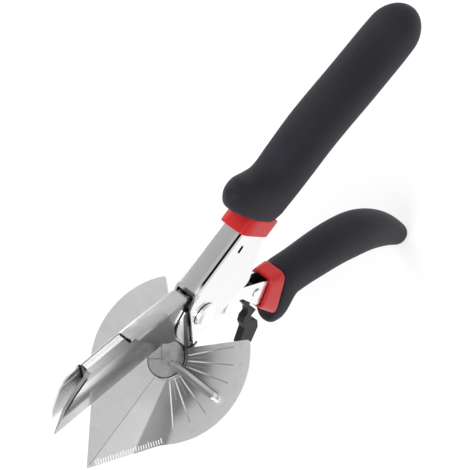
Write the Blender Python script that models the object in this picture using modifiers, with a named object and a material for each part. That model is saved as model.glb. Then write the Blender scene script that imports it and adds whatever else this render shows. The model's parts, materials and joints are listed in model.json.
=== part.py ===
"""Mitre shears with an angle plate, a turning anvil and a swinging fence.

Metres, +Z up. The origin is the centre of the anvil's top face. The handles lie towards +X, the plate's
point towards -X, and the fence stands out towards -Y. The shears stand open, as at rest on a bench.
"""
import math

import bmesh
import bpy
from mathutils import Matrix, Vector

# Fits
GAP = 0.0003                       # between pieces that touch or slide on each other
CUT_OVERRUN = 0.006                # how far a cutter passes the face that it cuts

# Anvil and angle plate
ANVIL_RADIUS = 0.0074
ANVIL_THICKNESS = 0.0015
ANVIL_CHAMFER = 0.0003
ANVIL_STUD_RADIUS = 0.0018
ANVIL_GROOVE_WIDTH = 0.0002        # round the stud's end, in the anvil's face
ANVIL_GROOVE_DEPTH = 0.00015
PLATE_THICKNESS = 0.0010
PLATE_RADIUS = 0.0312
PLATE_WING_BACK = 0.0004           # centre of the wings' circle, behind the anvil's centre
PLATE_POINT_REACH = 0.0486
PLATE_POINT_EDGE_SHARE = 0.95      # the point's straight edge from the wings' centre, of their radius
PLATE_WAIST_RADIUS = 0.0180        # hollow curve between the point and a wing
PLATE_REAR_SET = 0.0044            # where the two rear edges would meet, behind the anvil's centre
PLATE_REAR_ANGLE = math.radians(41.8)
PLATE_CORNER_RADIUS = 0.0016

# Pivot of the two levers
PIVOT_BACK = 0.0208                # behind the anvil's centre
PIVOT_ABOVE_PLATE = 0.0074
BOLT_RADIUS = 0.0025
BOLT_HEAD_RADIUS = 0.0049
BOLT_HEAD_HEIGHT = 0.0016
NUT_RADIUS = 0.0044
NUT_HEIGHT = 0.0024
WASHER_RADIUS = 0.0054
WASHER_THICKNESS = 0.0005
BUSH_WALL = 0.0006

# Anvil lever, a channel that is open below
CHANNEL_HALF_WIDTH = 0.0048
CHANNEL_SHEET = 0.0009
CHANNEL_BEND = 0.0014
WEB_ABOVE_PLATE = 0.0210
WEB_FRONT = 0.0250
CHEEK_FRONT_BACK = 0.0188          # corner of the cheek's front edge
CHEEK_FRONT_ABOVE_PLATE = 0.0171
CHEEK_FOOT_BACK = 0.0097           # lowest point of the cheek's front edge
CHEEK_FOOT_ABOVE_PLATE = 0.0004
CHEEK_FOOT_LENGTH = 0.0042
CHEEK_BELLY_BACK = 0.0395
CHEEK_BELLY_BELOW_PLATE = 0.0052
CHEEK_NECK_BACK = 0.0550
CHEEK_NECK_ABOVE_PLATE = 0.0064
CHEEK_FRONT_RADIUS = 0.0020
CHEEK_FOOT_RADIUS = 0.0004
CHEEK_BELLY_RADIUS = 0.0040
TANG_START = 0.0600
TANG_END = 0.1180
TANG_DEPTH = 0.0122
HANG_SLOT_BACK = 0.0467
HANG_SLOT_ABOVE_PLATE = 0.0150
HANG_SLOT_HALF_LENGTH = 0.0015
HANG_SLOT_HALF_WIDTH = 0.0012

# Anvil carrier, a bracket inside the anvil lever
CARRIER_HALF_WIDTH = 0.0036
CARRIER_SHEET = 0.0008
CARRIER_LEG_LENGTH = 0.0036
CARRIER_BOSS_RADIUS = 0.0078
CARRIER_KNEE_BACK = 0.0094
CARRIER_KNEE_ABOVE_PLATE = 0.0146
CARRIER_KNEE_RADIUS = 0.0080
CARRIER_TOP_BACK = 0.0176
CARRIER_TOP_ABOVE_PLATE = 0.0172
BRIDGE_THICKNESS = 0.0012
BRIDGE_FRONT = 0.0085
BRIDGE_MARGIN = 0.0006               # the bridge stands out round the legs
RIVET_RADIUS = 0.0009
RIVET_HEAD_RADIUS = 0.0016
RIVET_HEAD_HEIGHT = 0.0006
RIVET_SPREAD = 0.0048
RETAINER_RADIUS = 0.0027
RETAINER_THICKNESS = 0.0008

# Fence
FENCE_HALF_WIDTH = 0.0014
FENCE_REACH = 0.0268
FENCE_START = 0.0036               # centre of the fence's rounded inner end
FENCE_HEIGHT = 0.0018              # above the anvil's face
FENCE_CHAMFER = 0.0011
FENCE_END_RADIUS = 0.0005
FENCE_RIVET_RADIUS = 0.0006
FENCE_RIVET_OUT = 0.0060
FENCE_RIVET_COVER = 0.0005         # metal left over the rivet's top

# Blade lever: jaw, cheeks and lower handle in one pressing
OPENING_ANGLE = math.radians(28.0)
JAW_HALF_WIDTH = 0.0036
WAIST_HALF_WIDTH = 0.0025
LEVER_SHEET = 0.0008
JAW_BEND = 0.0012
JAW_NEAR_BEND = 0.0020             # the near bend of the web is softer
JAW_SPINE_REAR_ALONG = 0.0062
JAW_SPINE_REAR_RISE = 0.0136
JAW_SPINE_RISE = 0.0147
JAW_SPINE_CREST_ALONG = 0.0250
JAW_SPINE_FRONT_ALONG = 0.0500
JAW_SPINE_FRONT_RISE = 0.0143
JAW_SPINE_RADIUS = 0.0100
JAW_FOOT_RADIUS = 0.0005
# The jaw's nose and foot: along, rise and corner radius.
JAW_NOSE = [
    (0.0568, 0.0132, 0.0060), (0.0608, 0.0094, 0.0080), (0.0646, 0.0030, 0.0080), (0.0662, -0.0034, 0.0020),
    (0.0655, -0.0050, 0.0005), (0.0560, -0.0047, 0.0020), (0.0335, 0.0012, 0.0020)]
TONGUE_DEPTH = 0.0010              # thickness of the web's tongue over the waist
JAW_HEEL_ALONG = 0.0137
JAW_HEEL_RISE = 0.0012
JAW_HEEL_SLOPE = 0.0075
JAW_HEEL_DROP = 0.0045
JAW_HEEL_RADIUS = 0.0020
JAW_WAIST_ALONG = 0.0132
JAW_WAIST_RISE = 0.0045
JAW_WEB_CUT_RISE = 0.0112          # the cut-out over the blade starts this high
LOBE_ALONG = 0.0155
LOBE_RADIUS = 0.0020
# The cut across the web: along the jaw, across it and corner radius.
WEB_EDGE = [(0.0302, -0.0042, 0.0), (0.0317, -0.0018, 0.0030), (0.0322, 0.0029, 0.0004)]
WAIST_RADIUS = 0.0098
# The near cheek's front edge: along, rise and corner radius.
CHEEK_EDGE = [
    (0.0144, -0.0033, 0.0), (0.0172, -0.0011, 0.0060), (0.0233, 0.0053, 0.0120), (0.0277, 0.0106, 0.0120),
    (0.0306, 0.0150, 0.0)]
BLADE_TIP_ALONG = 0.0677
BLADE_HEEL_ALONG = 0.0167
BLADE_THICKNESS = 0.0021
BLADE_SHOULDER_ALONG = 0.0503
BLADE_STEP_ALONG = 0.0325          # in front of it the blade's back stands flush with the web
# The blade's nose: along, rise and corner radius.
BLADE_NOSE = [
    (0.0516, 0.0123, 0.0010), (0.0575, 0.0086, 0.0100), (0.0626, 0.0043, 0.0060), (0.0677, -0.0042, 0.0004)]
BLADE_BEVEL_HEIGHT = 0.0112
BLADE_EDGE_THICKNESS = 0.0002
BLADE_SCREW_RADIUS = 0.0012
BLADE_SCREW_HEAD_RADIUS = 0.0022
BLADE_SCREW_HEAD_HEIGHT = 0.0009
BLADE_SCREW_FIRST_ALONG = 0.0215
BLADE_SCREW_PITCH = 0.0200
BLADE_SCREW_RISE = 0.0062
BLADE_SCREW_COVER = 0.0004
SPACER_INSET = 0.0024
SPACER_FRONT_ALONG = 0.0496

HANDLE_ANGLE = math.radians(59.0)  # lower handle below the anvil lever's line
HANDLE_HALF_DEPTH = 0.0053
HANDLE_RIM = 0.0365                # from the pivot to the red collar's front
HANDLE_TANG = 0.0520
HANDLE_WIDE_START = 0.0150
LATCH_NOTCH_START = 0.0208
LATCH_NOTCH_END = 0.0345
LATCH_NOTCH_DEPTH = 0.0058
LATCH_NOTCH_FLAT = 0.0024
HANDLE_CORNER_RADIUS = 0.0020

# Grips and collars
GRIP_HALF_WIDTH = 0.0092
GRIP_HALF_HEIGHT = 0.0112
COLLAR_WALL = 0.0012
COLLAR_LENGTH = 0.0068
COLLAR_SLANT = math.radians(18.0)
COLLAR_EASE_SHARE = 0.94
COLLAR_RING_SHARES = (0.0, 0.12, 0.5, 0.88, 1.0)
UPPER_COLLAR_BACK = 0.0500
UPPER_COLLAR_HALF_HEIGHT = 0.0085
UPPER_GRIP_END = 0.1520
UPPER_LEAN_SHIFT = 0.0085
UPPER_GRIP_FRONT_RISE = 0.0163
UPPER_GRIP_CREST_RISE = 0.0165
UPPER_GRIP_MIDDLE_RISE = 0.0136
UPPER_GRIP_END_RISE = 0.0104
LOWER_COLLAR_TURN = math.radians(46.4)
LOWER_COLLAR_REAR_RISE = 0.0090
LOWER_COLLAR_REAR_DROP = 0.0118
LOWER_COLLAR_FLARE_SHARE = 1.16
LOWER_GRIP_FRONT_BACK = 0.0440
LOWER_GRIP_FRONT_DROP = 0.0312
LOWER_GRIP_RISE_BACK = 0.0638
LOWER_GRIP_RISE_DROP = 0.0489
LOWER_GRIP_TURN_BACK = 0.0873
LOWER_GRIP_TURN_DROP = 0.0556
LOWER_GRIP_END_BACK = 0.0930
LOWER_GRIP_END_DROP = 0.1040
# A grip's rings: places along it, and the places where its rounded end starts.
GRIP_RING_SHARES = (
    0.0, 0.015, 0.03, 0.045, 0.06, 0.075, 0.09, 0.105, 0.12, 0.14, 0.16, 0.19, 0.24, 0.30, 0.38, 0.46, 0.54,
    0.62, 0.70, 0.77, 0.83, 0.88, 0.92, 0.95, 0.97, 0.985, 0.995, 1.0)
GRIP_LEAN_SHARE = 0.16             # the rings lean with the collar up to here
UPPER_END_SHARE = 0.88
LOWER_END_SHARE = 0.94
GRIP_END_SHARE = 0.985             # how far the rounded end closes
# Sections: place along the grip, half-width, rise above and drop below its middle, as shares.
UPPER_SECTION_SHARES = (
    (0.0, 0.78, 1.10, 0.90), (0.03, 0.83, 1.53, 0.94), (0.06, 0.87, 2.06, 0.96), (0.09, 0.88, 2.02, 0.96),
    (0.12, 0.89, 1.47, 0.95), (0.16, 0.91, 1.01, 0.94), (0.24, 0.94, 0.92, 0.94), (0.40, 0.96, 0.97, 0.94),
    (0.80, 0.97, 0.97, 0.96), (1.0, 0.90, 0.92, 0.86))
LOWER_SECTION_SHARES = (
    (0.0, 0.70, 0.80, 1.54), (0.03, 0.77, 0.82, 1.75), (0.06, 0.80, 0.83, 1.76), (0.09, 0.80, 0.83, 1.05),
    (0.12, 0.79, 0.83, 0.78), (0.16, 0.79, 0.83, 0.78), (0.35, 0.84, 0.84, 0.84), (0.55, 0.86, 0.86, 0.86),
    (0.80, 0.70, 0.67, 0.67), (1.0, 0.44, 0.34, 0.34))

# Latch
LATCH_HALF_WIDTH = 0.0015
LATCH_PIN_RADIUS = 0.0010
LATCH_PIN_HEAD_RADIUS = 0.0019
LATCH_PIN_HEAD_HEIGHT = 0.0007
LATCH_PIN_ALONG = 0.0310
LATCH_PIN_FRONT = -0.0014
# The latch's side outline from its pin, along the handle and to its front, with each corner's radius.
LATCH_OUTLINE = [
    (-0.0034, 0.0022, 0.0015), (-0.0024, 0.0056, 0.0015), (0.0020, 0.0088, 0.0015),
    (0.0033, 0.0114, 0.0010), (0.0020, 0.0130, 0.0008), (0.0026, 0.0160, 0.0010),
    (0.0052, 0.0188, 0.0008), (0.0059, 0.0266, 0.0008), (0.0140, 0.0280, 0.0010),
    (0.0144, 0.0200, 0.0015), (0.0122, 0.0166, 0.0008), (0.0063, 0.0148, 0.0010),
    (0.0066, 0.0130, 0.0006), (0.0082, 0.0107, 0.0005), (0.0022, 0.0077, 0.0010),
    (0.0021, -0.0010, 0.0018), (-0.0008, -0.0026, 0.0018), (-0.0030, -0.0008, 0.0015)]

# Heads of bolts, screws and pins, as shares of their radius or height
HEAD_CROWN_SHARE = 0.7
BOLT_SHOULDER_SHARE = 0.92
BOLT_DOME_SHARE = 0.5

# Torsion spring round the pivot bush
SPRING_WIRE_RADIUS = 0.0004
SPRING_PITCH = 0.00128
SPRING_TURNS = 1.6
SPRING_LEG = 0.0060
SPRING_START_ANGLE = math.radians(150.0)

PLATE_TOP = -(ANVIL_THICKNESS + GAP)
PLATE_POINT_HALF_ANGLE = math.asin(
    PLATE_POINT_EDGE_SHARE * PLATE_RADIUS / (PLATE_POINT_REACH + PLATE_WING_BACK))
BRIDGE_TOP = PLATE_TOP - PLATE_THICKNESS - GAP
BRIDGE_BOTTOM = BRIDGE_TOP - BRIDGE_THICKNESS
EDGE_DROP = PIVOT_ABOVE_PLATE + PLATE_TOP - GAP    # cutting edge below the pivot, with the jaw's line level
LEG_FRONT = math.sqrt((ANVIL_RADIUS + GAP) ** 2 - (CARRIER_HALF_WIDTH - CARRIER_SHEET) ** 2)
PIVOT = Vector((PIVOT_BACK, 0.0, PLATE_TOP + PIVOT_ABOVE_PLATE))
CIRCLE_STEPS = 32
FINE_CIRCLE_STEPS = 20
ANVIL_STEPS = 48


def clear_scene():
    for item in list(bpy.data.objects):
        bpy.data.objects.remove(item, do_unlink=True)


def make_collection(name):
    group = bpy.data.collections.new(name)
    bpy.context.scene.collection.children.link(group)
    return group


clear_scene()
PARTS = make_collection("mitre_shears")
CUTTERS = make_collection("cutters")


# Finishes: colour, roughness, metallic share
POLISHED = ((0.72, 0.72, 0.71), 0.22, 1.0)
BRUSHED = ((0.58, 0.58, 0.58), 0.35, 1.0)
GROUND = ((0.64, 0.64, 0.64), 0.28, 1.0)
SPRING_STEEL = ((0.30, 0.30, 0.30), 0.40, 1.0)
BLACK_GRIP = ((0.045, 0.043, 0.050), 0.55, 0.0)
BLACK_PLASTIC = ((0.020, 0.020, 0.022), 0.45, 0.0)
RED_PLASTIC = ((0.62, 0.035, 0.035), 0.35, 0.0)


def material(name, finish):
    """A piece's own Principled material."""
    colour, roughness, metallic = finish
    skin = bpy.data.materials.new(name)
    skin.use_nodes = True
    shader = skin.node_tree.nodes["Principled BSDF"]
    shader.inputs["Base Color"].default_value = (*colour, 1.0)
    shader.inputs["Roughness"].default_value = roughness
    shader.inputs["Metallic"].default_value = metallic
    skin.diffuse_color = (*colour, 1.0)
    return skin


# Mesh helpers

def add_object(name, mesh, finish=None, group=None):
    item = bpy.data.objects.new(name, mesh)
    (group or PARTS).objects.link(item)
    if finish is not None:
        mesh.materials.append(material(name, finish))
    return item


def finish_mesh(bm, name):
    bmesh.ops.recalc_face_normals(bm, faces=bm.faces)
    mesh = bpy.data.meshes.new(name)
    bm.to_mesh(mesh)
    bm.free()
    mesh.shade_smooth()
    mesh.set_sharp_from_angle(angle=math.radians(35.0))
    return mesh


def arc(centre_x, centre_z, radius, start, end, steps):
    """Points on an arc, from the start angle to the end angle, both in radians."""
    turn = (end - start) / steps
    return [(centre_x + radius * math.cos(start + turn * k),
             centre_z + radius * math.sin(start + turn * k), 0.0) for k in range(steps + 1)]


def rounded(corners, steps=4):
    """An outline from corners given as (across, up, fillet radius)."""
    outline = []
    for index, (across, up, radius) in enumerate(corners):
        here = Vector((across, up))
        if radius == 0.0:
            outline.append(here)
            continue
        before = Vector(corners[index - 1][:2]) - here
        after = Vector(corners[(index + 1) % len(corners)][:2]) - here
        half = before.angle(after) / 2
        reach = min(radius / math.tan(half), 0.45 * min(before.length, after.length))
        real_radius = reach * math.tan(half)
        middle = (before.normalized() + after.normalized()).normalized()
        centre = here + middle * (real_radius / math.sin(half))
        first = here + before.normalized() * reach - centre
        last = here + after.normalized() * reach - centre
        start = math.atan2(first.y, first.x)
        sweep = math.atan2(first.x * last.y - first.y * last.x, first.dot(last))
        for k in range(steps + 1):
            angle = start + sweep * k / steps
            outline.append(centre + Vector((math.cos(angle), math.sin(angle))) * real_radius)
    return outline


def flat_solid(outline, low, high, upright=True):
    """A filled flat curve given a thickness from low to high, as a bmesh.

    An upright solid has its outline in X and Z and its thickness along Y; a lying one has its outline
    in X and Y and its thickness along Z.
    """
    curve = bpy.data.curves.new("outline", "CURVE")
    curve.dimensions = "2D"
    curve.fill_mode = "BOTH"
    curve.extrude = (high - low) / 2
    spline = curve.splines.new("POLY")
    spline.points.add(len(outline) - 1)
    for point, place in zip(spline.points, outline):
        point.co = (place[0], place[1], 0.0, 1.0)
    spline.use_cyclic_u = True
    holder = bpy.data.objects.new("outline", curve)
    bpy.context.scene.collection.objects.link(holder)
    graph = bpy.context.evaluated_depsgraph_get()
    mesh = bpy.data.meshes.new_from_object(holder.evaluated_get(graph))
    bm = bmesh.new()
    bm.from_mesh(mesh)
    bpy.data.meshes.remove(mesh)
    bpy.data.objects.remove(holder, do_unlink=True)
    bpy.data.curves.remove(curve)
    bmesh.ops.remove_doubles(bm, verts=bm.verts, dist=0.000005)
    middle = (low + high) / 2
    if upright:
        place = Matrix.Translation((0.0, middle, 0.0)) @ Matrix.Rotation(math.radians(90.0), 4, "X")
    else:
        place = Matrix.Translation((0.0, 0.0, middle))
    bmesh.ops.transform(bm, matrix=place, verts=bm.verts)
    bmesh.ops.recalc_face_normals(bm, faces=bm.faces)
    return bm


def round_edges(bm, width, segments, wanted):
    """Round the edges that wanted(edge) picks."""
    edges = [edge for edge in bm.edges if wanted(edge)]
    if edges:
        bmesh.ops.bevel(bm, geom=edges, offset=width, offset_type="OFFSET", segments=segments,
                        profile=0.5, affect="EDGES", clamp_overlap=True)


def along_outline(edge):
    """True for an edge that runs round the outline, not across the thickness."""
    return abs(edge.verts[0].co.y - edge.verts[1].co.y) < GAP / 10 and edge.calc_face_angle(0.0) > 1.0


def cutter(name, bm):
    item = add_object(name, finish_mesh(bm, name), group=CUTTERS)
    item.hide_render = True
    item.display_type = "WIRE"
    return item


def boolean(item, tool, operation):
    change = item.modifiers.new(operation.lower() + "_" + tool.name, "BOOLEAN")
    change.operation = operation
    change.solver = "EXACT"
    change.object = tool


def cut(item, tool):
    boolean(item, tool, "DIFFERENCE")


def join(item, tool):
    boolean(item, tool, "UNION")


def cylinder(radius, low, high, centre=(0.0, 0.0, 0.0), axis="Y", steps=CIRCLE_STEPS, far_radius=None):
    """A cylinder or cone along Y or Z, from low to high."""
    bm = bmesh.new()
    bmesh.ops.create_cone(bm, cap_ends=True, segments=steps, radius1=radius,
                          radius2=radius if far_radius is None else far_radius, depth=high - low)
    place = Matrix.Translation((0.0, 0.0, (low + high) / 2))
    if axis == "Y":
        place = Matrix.Rotation(math.radians(-90.0), 4, "X") @ place
    bmesh.ops.transform(bm, matrix=Matrix.Translation(centre) @ place, verts=bm.verts)
    return bm


def box(low, high, turn=None):
    """A box from its low corner to its high corner, then turned by a matrix."""
    bm = bmesh.new()
    bmesh.ops.create_cube(bm, size=1.0)
    low, high = Vector(low), Vector(high)
    size = Matrix.Diagonal((*(high - low), 1.0))
    bmesh.ops.transform(bm, matrix=Matrix.Translation((low + high) / 2) @ size, verts=bm.verts)
    if turn is not None:
        bmesh.ops.transform(bm, matrix=turn, verts=bm.verts)
    return bm


def turned(name, profile, finish, centre, axis="Y", steps=CIRCLE_STEPS):
    """A turned piece: the profile lists (radius, height) down the outer side, top to bottom.

    A piece with a bore has a profile that stands clear of the axis and comes back to its start.
    """
    bm = bmesh.new()
    ring = [bm.verts.new((radius, 0.0, height)) for radius, height in profile]
    for first, second in zip(ring, ring[1:]):
        bm.edges.new((first, second))
    if profile[0][0] > 0.0:
        bm.edges.new((ring[-1], ring[0]))
    mesh = bpy.data.meshes.new(name)
    bm.to_mesh(mesh)
    bm.free()
    item = add_object(name, mesh, finish)
    item.location = centre
    if axis == "Y":
        item.rotation_euler = (math.radians(90.0), 0.0, 0.0)
    spin = item.modifiers.new("turn", "SCREW")
    spin.steps = steps
    spin.render_steps = steps
    spin.use_merge_vertices = True
    spin.merge_threshold = 0.00001
    spin.use_normal_calculate = False
    return item


def loft(sections, name):
    """A closed skin over rings of equal count, capped at both ends."""
    bm = bmesh.new()
    rings = [[bm.verts.new(point) for point in section] for section in sections]
    count = len(rings[0])
    for near, far in zip(rings, rings[1:]):
        for k in range(count):
            bm.faces.new((near[k], near[(k + 1) % count], far[(k + 1) % count], far[k]))
    bm.faces.new(reversed(rings[0]))
    bm.faces.new(rings[-1])
    return finish_mesh(bm, name)


def oval_ring(centre, up, half_width, rise, drop, squareness, count=28):
    """A rounded ring: half_width across Y, rise above and drop below the centre along up."""
    points = []
    for k in range(count):
        angle = 2 * math.pi * k / count
        across = math.copysign(abs(math.cos(angle)) ** (2 / squareness), math.cos(angle))
        high = math.copysign(abs(math.sin(angle)) ** (2 / squareness), math.sin(angle))
        height = high * (rise if high > 0 else drop)
        points.append(centre + up * height + Vector((0.0, across * half_width, 0.0)))
    return points


def smooth_table(rows, share):
    """A value read from rows of (share, value, ...) with a smooth cubic between them."""
    for low, high in zip(rows, rows[1:]):
        if share <= high[0]:
            blend = (share - low[0]) / (high[0] - low[0])
            blend = blend * blend * (3 - 2 * blend)
            return [a + (b - a) * blend for a, b in zip(low[1:], high[1:])]
    return list(rows[-1][1:])


# Directions of the blade lever: the jaw's own line and the lower handle's own line

JAW_LINE = Vector((-math.cos(OPENING_ANGLE), 0.0, math.sin(OPENING_ANGLE)))
JAW_RISE = Vector((math.sin(OPENING_ANGLE), 0.0, math.cos(OPENING_ANGLE)))
HANDLE_LINE = Vector((math.cos(HANDLE_ANGLE), 0.0, -math.sin(HANDLE_ANGLE)))
HANDLE_FRONT = Vector((-math.sin(HANDLE_ANGLE), 0.0, -math.cos(HANDLE_ANGLE)))


def at_jaw(along, rise, fillet=0.0):
    place = PIVOT + JAW_LINE * along + JAW_RISE * rise
    return (place.x, place.z, fillet)


def at_handle(along, front, fillet=0.0):
    place = PIVOT + HANDLE_LINE * along + HANDLE_FRONT * front
    return (place.x, place.z, fillet)


def above_plate(back, height, fillet=0.0):
    return (back, PLATE_TOP + height, fillet)


def latch_centre():
    place = at_handle(LATCH_PIN_ALONG, LATCH_PIN_FRONT)
    return Vector((place[0], 0.0, place[1]))


# Anvil lever

def lever_channel():
    """The upper lever: a steel channel with its web on top and two deep cheeks round the pivot."""
    corners = [
        above_plate(WEB_FRONT, WEB_ABOVE_PLATE),
        above_plate(CHEEK_FRONT_BACK, CHEEK_FRONT_ABOVE_PLATE, CHEEK_FRONT_RADIUS),
        above_plate(CHEEK_FOOT_BACK, CHEEK_FOOT_ABOVE_PLATE, CHEEK_FOOT_RADIUS),
        above_plate(CHEEK_FOOT_BACK + CHEEK_FOOT_LENGTH, CHEEK_FOOT_ABOVE_PLATE, CHEEK_FRONT_RADIUS),
        above_plate(CHEEK_BELLY_BACK, -CHEEK_BELLY_BELOW_PLATE, CHEEK_BELLY_RADIUS),
        above_plate(CHEEK_NECK_BACK, CHEEK_NECK_ABOVE_PLATE, CHEEK_FRONT_RADIUS),
        above_plate(TANG_START, WEB_ABOVE_PLATE - TANG_DEPTH, CHEEK_FRONT_RADIUS),
        above_plate(TANG_END, WEB_ABOVE_PLATE - TANG_DEPTH),
        above_plate(TANG_END, WEB_ABOVE_PLATE),
    ]
    web_top = PLATE_TOP + WEB_ABOVE_PLATE

    def on_web(edge):
        return along_outline(edge) and min(v.co.z for v in edge.verts) > web_top - GAP / 2

    body = flat_solid(rounded(corners), -CHANNEL_HALF_WIDTH, CHANNEL_HALF_WIDTH)
    round_edges(body, CHANNEL_BEND, 4, on_web)
    lever = add_object("anvil_lever", finish_mesh(body, "anvil_lever"), POLISHED)
    inner = CHANNEL_HALF_WIDTH - CHANNEL_SHEET
    hollow = box((-CUT_OVERRUN, -inner, PLATE_TOP - CHEEK_BELLY_BELOW_PLATE - CUT_OVERRUN),
                 (TANG_END + CUT_OVERRUN, inner, web_top - CHANNEL_SHEET))

    def under_channel_web(edge):
        high = min(v.co.z for v in edge.verts) > web_top - 2 * CHANNEL_SHEET
        return along_outline(edge) and high and abs(edge.verts[0].co.x - edge.verts[1].co.x) > CUT_OVERRUN

    round_edges(hollow, CHANNEL_BEND - CHANNEL_SHEET, 3, under_channel_web)
    cut(lever, cutter("channel_hollow", hollow))
    cut(lever, cutter("channel_pivot_bore",
                      cylinder(BOLT_RADIUS + GAP, -CHANNEL_HALF_WIDTH - CUT_OVERRUN,
                               CHANNEL_HALF_WIDTH + CUT_OVERRUN, PIVOT)))
    slot_centre = above_plate(HANG_SLOT_BACK, HANG_SLOT_ABOVE_PLATE)
    slot = arc(HANG_SLOT_HALF_LENGTH, 0.0, HANG_SLOT_HALF_WIDTH, -math.pi / 2, math.pi / 2, 6)
    slot += arc(-HANG_SLOT_HALF_LENGTH, 0.0, HANG_SLOT_HALF_WIDTH, math.pi / 2, 3 * math.pi / 2, 6)
    slot = [(slot_centre[0] + x, slot_centre[1] + z) for x, z, _ in slot]
    cut(lever, cutter("channel_slot", flat_solid(slot, -CHANNEL_HALF_WIDTH - CUT_OVERRUN,
                                                 CHANNEL_HALF_WIDTH + CUT_OVERRUN)))


def carrier():
    """The bracket inside the anvil lever, whose two legs carry the plate on a bridge under it."""
    inner = CARRIER_HALF_WIDTH - CARRIER_SHEET
    foot = (BRIDGE_TOP + BRIDGE_BOTTOM) / 2
    corners = [(LEG_FRONT, foot, 0.0), (LEG_FRONT + CARRIER_LEG_LENGTH, foot, 0.0)]
    corners += arc(PIVOT.x, PIVOT.z, CARRIER_BOSS_RADIUS, math.radians(-150.0), math.radians(100.0), 20)
    corners += [above_plate(CARRIER_TOP_BACK, CARRIER_TOP_ABOVE_PLATE),
                above_plate(CARRIER_KNEE_BACK, CARRIER_KNEE_ABOVE_PLATE, CARRIER_KNEE_RADIUS)]
    side = CARRIER_HALF_WIDTH + BRIDGE_MARGIN
    bridge = box((-BRIDGE_FRONT, -side, BRIDGE_BOTTOM),
                 (LEG_FRONT + CARRIER_LEG_LENGTH + BRIDGE_MARGIN, side, BRIDGE_TOP))
    bracket = add_object("anvil_carrier", finish_mesh(bridge, "anvil_carrier"), BRUSHED)
    for word, low in (("near", -CARRIER_HALF_WIDTH), ("far", inner)):
        leg = flat_solid(rounded(corners, 6), low, low + CARRIER_SHEET)
        join(bracket, cutter(f"carrier_leg_{word}", leg))
    cut(bracket, cutter("carrier_pivot_bore", cylinder(BOLT_RADIUS + GAP, -CARRIER_HALF_WIDTH - CUT_OVERRUN,
                                                       CARRIER_HALF_WIDTH + CUT_OVERRUN, PIVOT)))
    cut(bracket, cutter("carrier_stud_bore", cylinder(ANVIL_STUD_RADIUS + GAP, BRIDGE_BOTTOM - CUT_OVERRUN,
                                                      BRIDGE_TOP + CUT_OVERRUN, axis="Z")))
    for word, back in (("front", -RIVET_SPREAD), ("rear", RIVET_SPREAD)):
        hole = cylinder(RIVET_RADIUS + GAP, BRIDGE_BOTTOM - CUT_OVERRUN, BRIDGE_TOP + CUT_OVERRUN,
                        (back, 0.0, 0.0), "Z", FINE_CIRCLE_STEPS)
        cut(bracket, cutter(f"carrier_rivet_bore_{word}", hole))


def plate_side():
    """One side of the plate, from its point round the wing to the notch for the carrier's legs."""
    out = Vector((-math.sin(PLATE_POINT_HALF_ANGLE), -math.cos(PLATE_POINT_HALF_ANGLE)))
    along = Vector((math.cos(PLATE_POINT_HALF_ANGLE), -math.sin(PLATE_POINT_HALF_ANGLE)))
    wing_centre = Vector((PLATE_WING_BACK, 0.0))
    # The hollow curve touches the point's straight edge and the wing's circle.
    start = Vector((-PLATE_POINT_REACH, 0.0)) + out * PLATE_WAIST_RADIUS - wing_centre
    far = PLATE_RADIUS + PLATE_WAIST_RADIUS
    reach = -start.dot(along) - math.sqrt(start.dot(along) ** 2 - start.length_squared + far * far)
    hollow = start + along * reach
    first = math.atan2(-out.y, -out.x)
    last = math.atan2(-hollow.y, -hollow.x)
    centre = wing_centre + hollow
    side = [(-PLATE_POINT_REACH, 0.0, 0.0)]
    side += arc(centre.x, centre.y, PLATE_WAIST_RADIUS, first, last, 6)[:-1]
    # The straight rear edge meets the wing's circle in a rounded corner.
    slope = math.tan(PLATE_REAR_ANGLE)
    set_back = PLATE_REAR_SET - PLATE_WING_BACK
    a = 1 + slope * slope
    b = 2 * set_back * slope
    c = set_back ** 2 - PLATE_RADIUS ** 2
    rear_side = (-b + math.sqrt(b * b - 4 * a * c)) / (2 * a)
    rear = PLATE_REAR_SET + slope * rear_side
    end = math.atan2(-rear_side, rear - PLATE_WING_BACK)
    side += arc(wing_centre.x, 0.0, PLATE_RADIUS, math.atan2(hollow.y, hollow.x), end, 24)
    side[-1] = (rear, -rear_side, PLATE_CORNER_RADIUS)
    notch_side = CARRIER_HALF_WIDTH + GAP
    notch_back = PLATE_REAR_SET + slope * notch_side
    return side + [(notch_back, -notch_side, 0.0), (LEG_FRONT - GAP, -notch_side, 0.0)]


def angle_plate():
    """The flat plate: two round wings, a point in front and a notch for the carrier's legs."""
    half = plate_side()
    other = [(x, -y, radius) for x, y, radius in reversed(half[1:])]
    body = flat_solid(rounded(half + other), PLATE_TOP - PLATE_THICKNESS, PLATE_TOP, upright=False)
    plate = add_object("angle_plate", finish_mesh(body, "angle_plate"), BRUSHED)
    low = PLATE_TOP - PLATE_THICKNESS - CUT_OVERRUN
    high = PLATE_TOP + CUT_OVERRUN
    cut(plate, cutter("plate_stud_bore", cylinder(ANVIL_STUD_RADIUS + GAP, low, high, axis="Z")))
    for word, back in (("front", -RIVET_SPREAD), ("rear", RIVET_SPREAD)):
        hole = cylinder(RIVET_RADIUS + GAP, low, high, (back, 0.0, 0.0), "Z", FINE_CIRCLE_STEPS)
        cut(plate, cutter(f"plate_rivet_bore_{word}", hole))


def carrier_rivets():
    """Two rivets that hold the plate on the carrier's bridge, flush with the plate under the anvil."""
    bottom = BRIDGE_BOTTOM - GAP
    for word, back in (("front", -RIVET_SPREAD), ("rear", RIVET_SPREAD)):
        crown = bottom - RIVET_HEAD_HEIGHT
        profile = [(0.0, PLATE_TOP), (RIVET_RADIUS, PLATE_TOP), (RIVET_RADIUS, bottom),
                   (RIVET_HEAD_RADIUS, bottom), (RIVET_HEAD_RADIUS * HEAD_CROWN_SHARE, crown), (0.0, crown)]
        turned(f"plate_rivet_{word}", profile, BRUSHED, (back, 0.0, 0.0), "Z", FINE_CIRCLE_STEPS)


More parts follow.
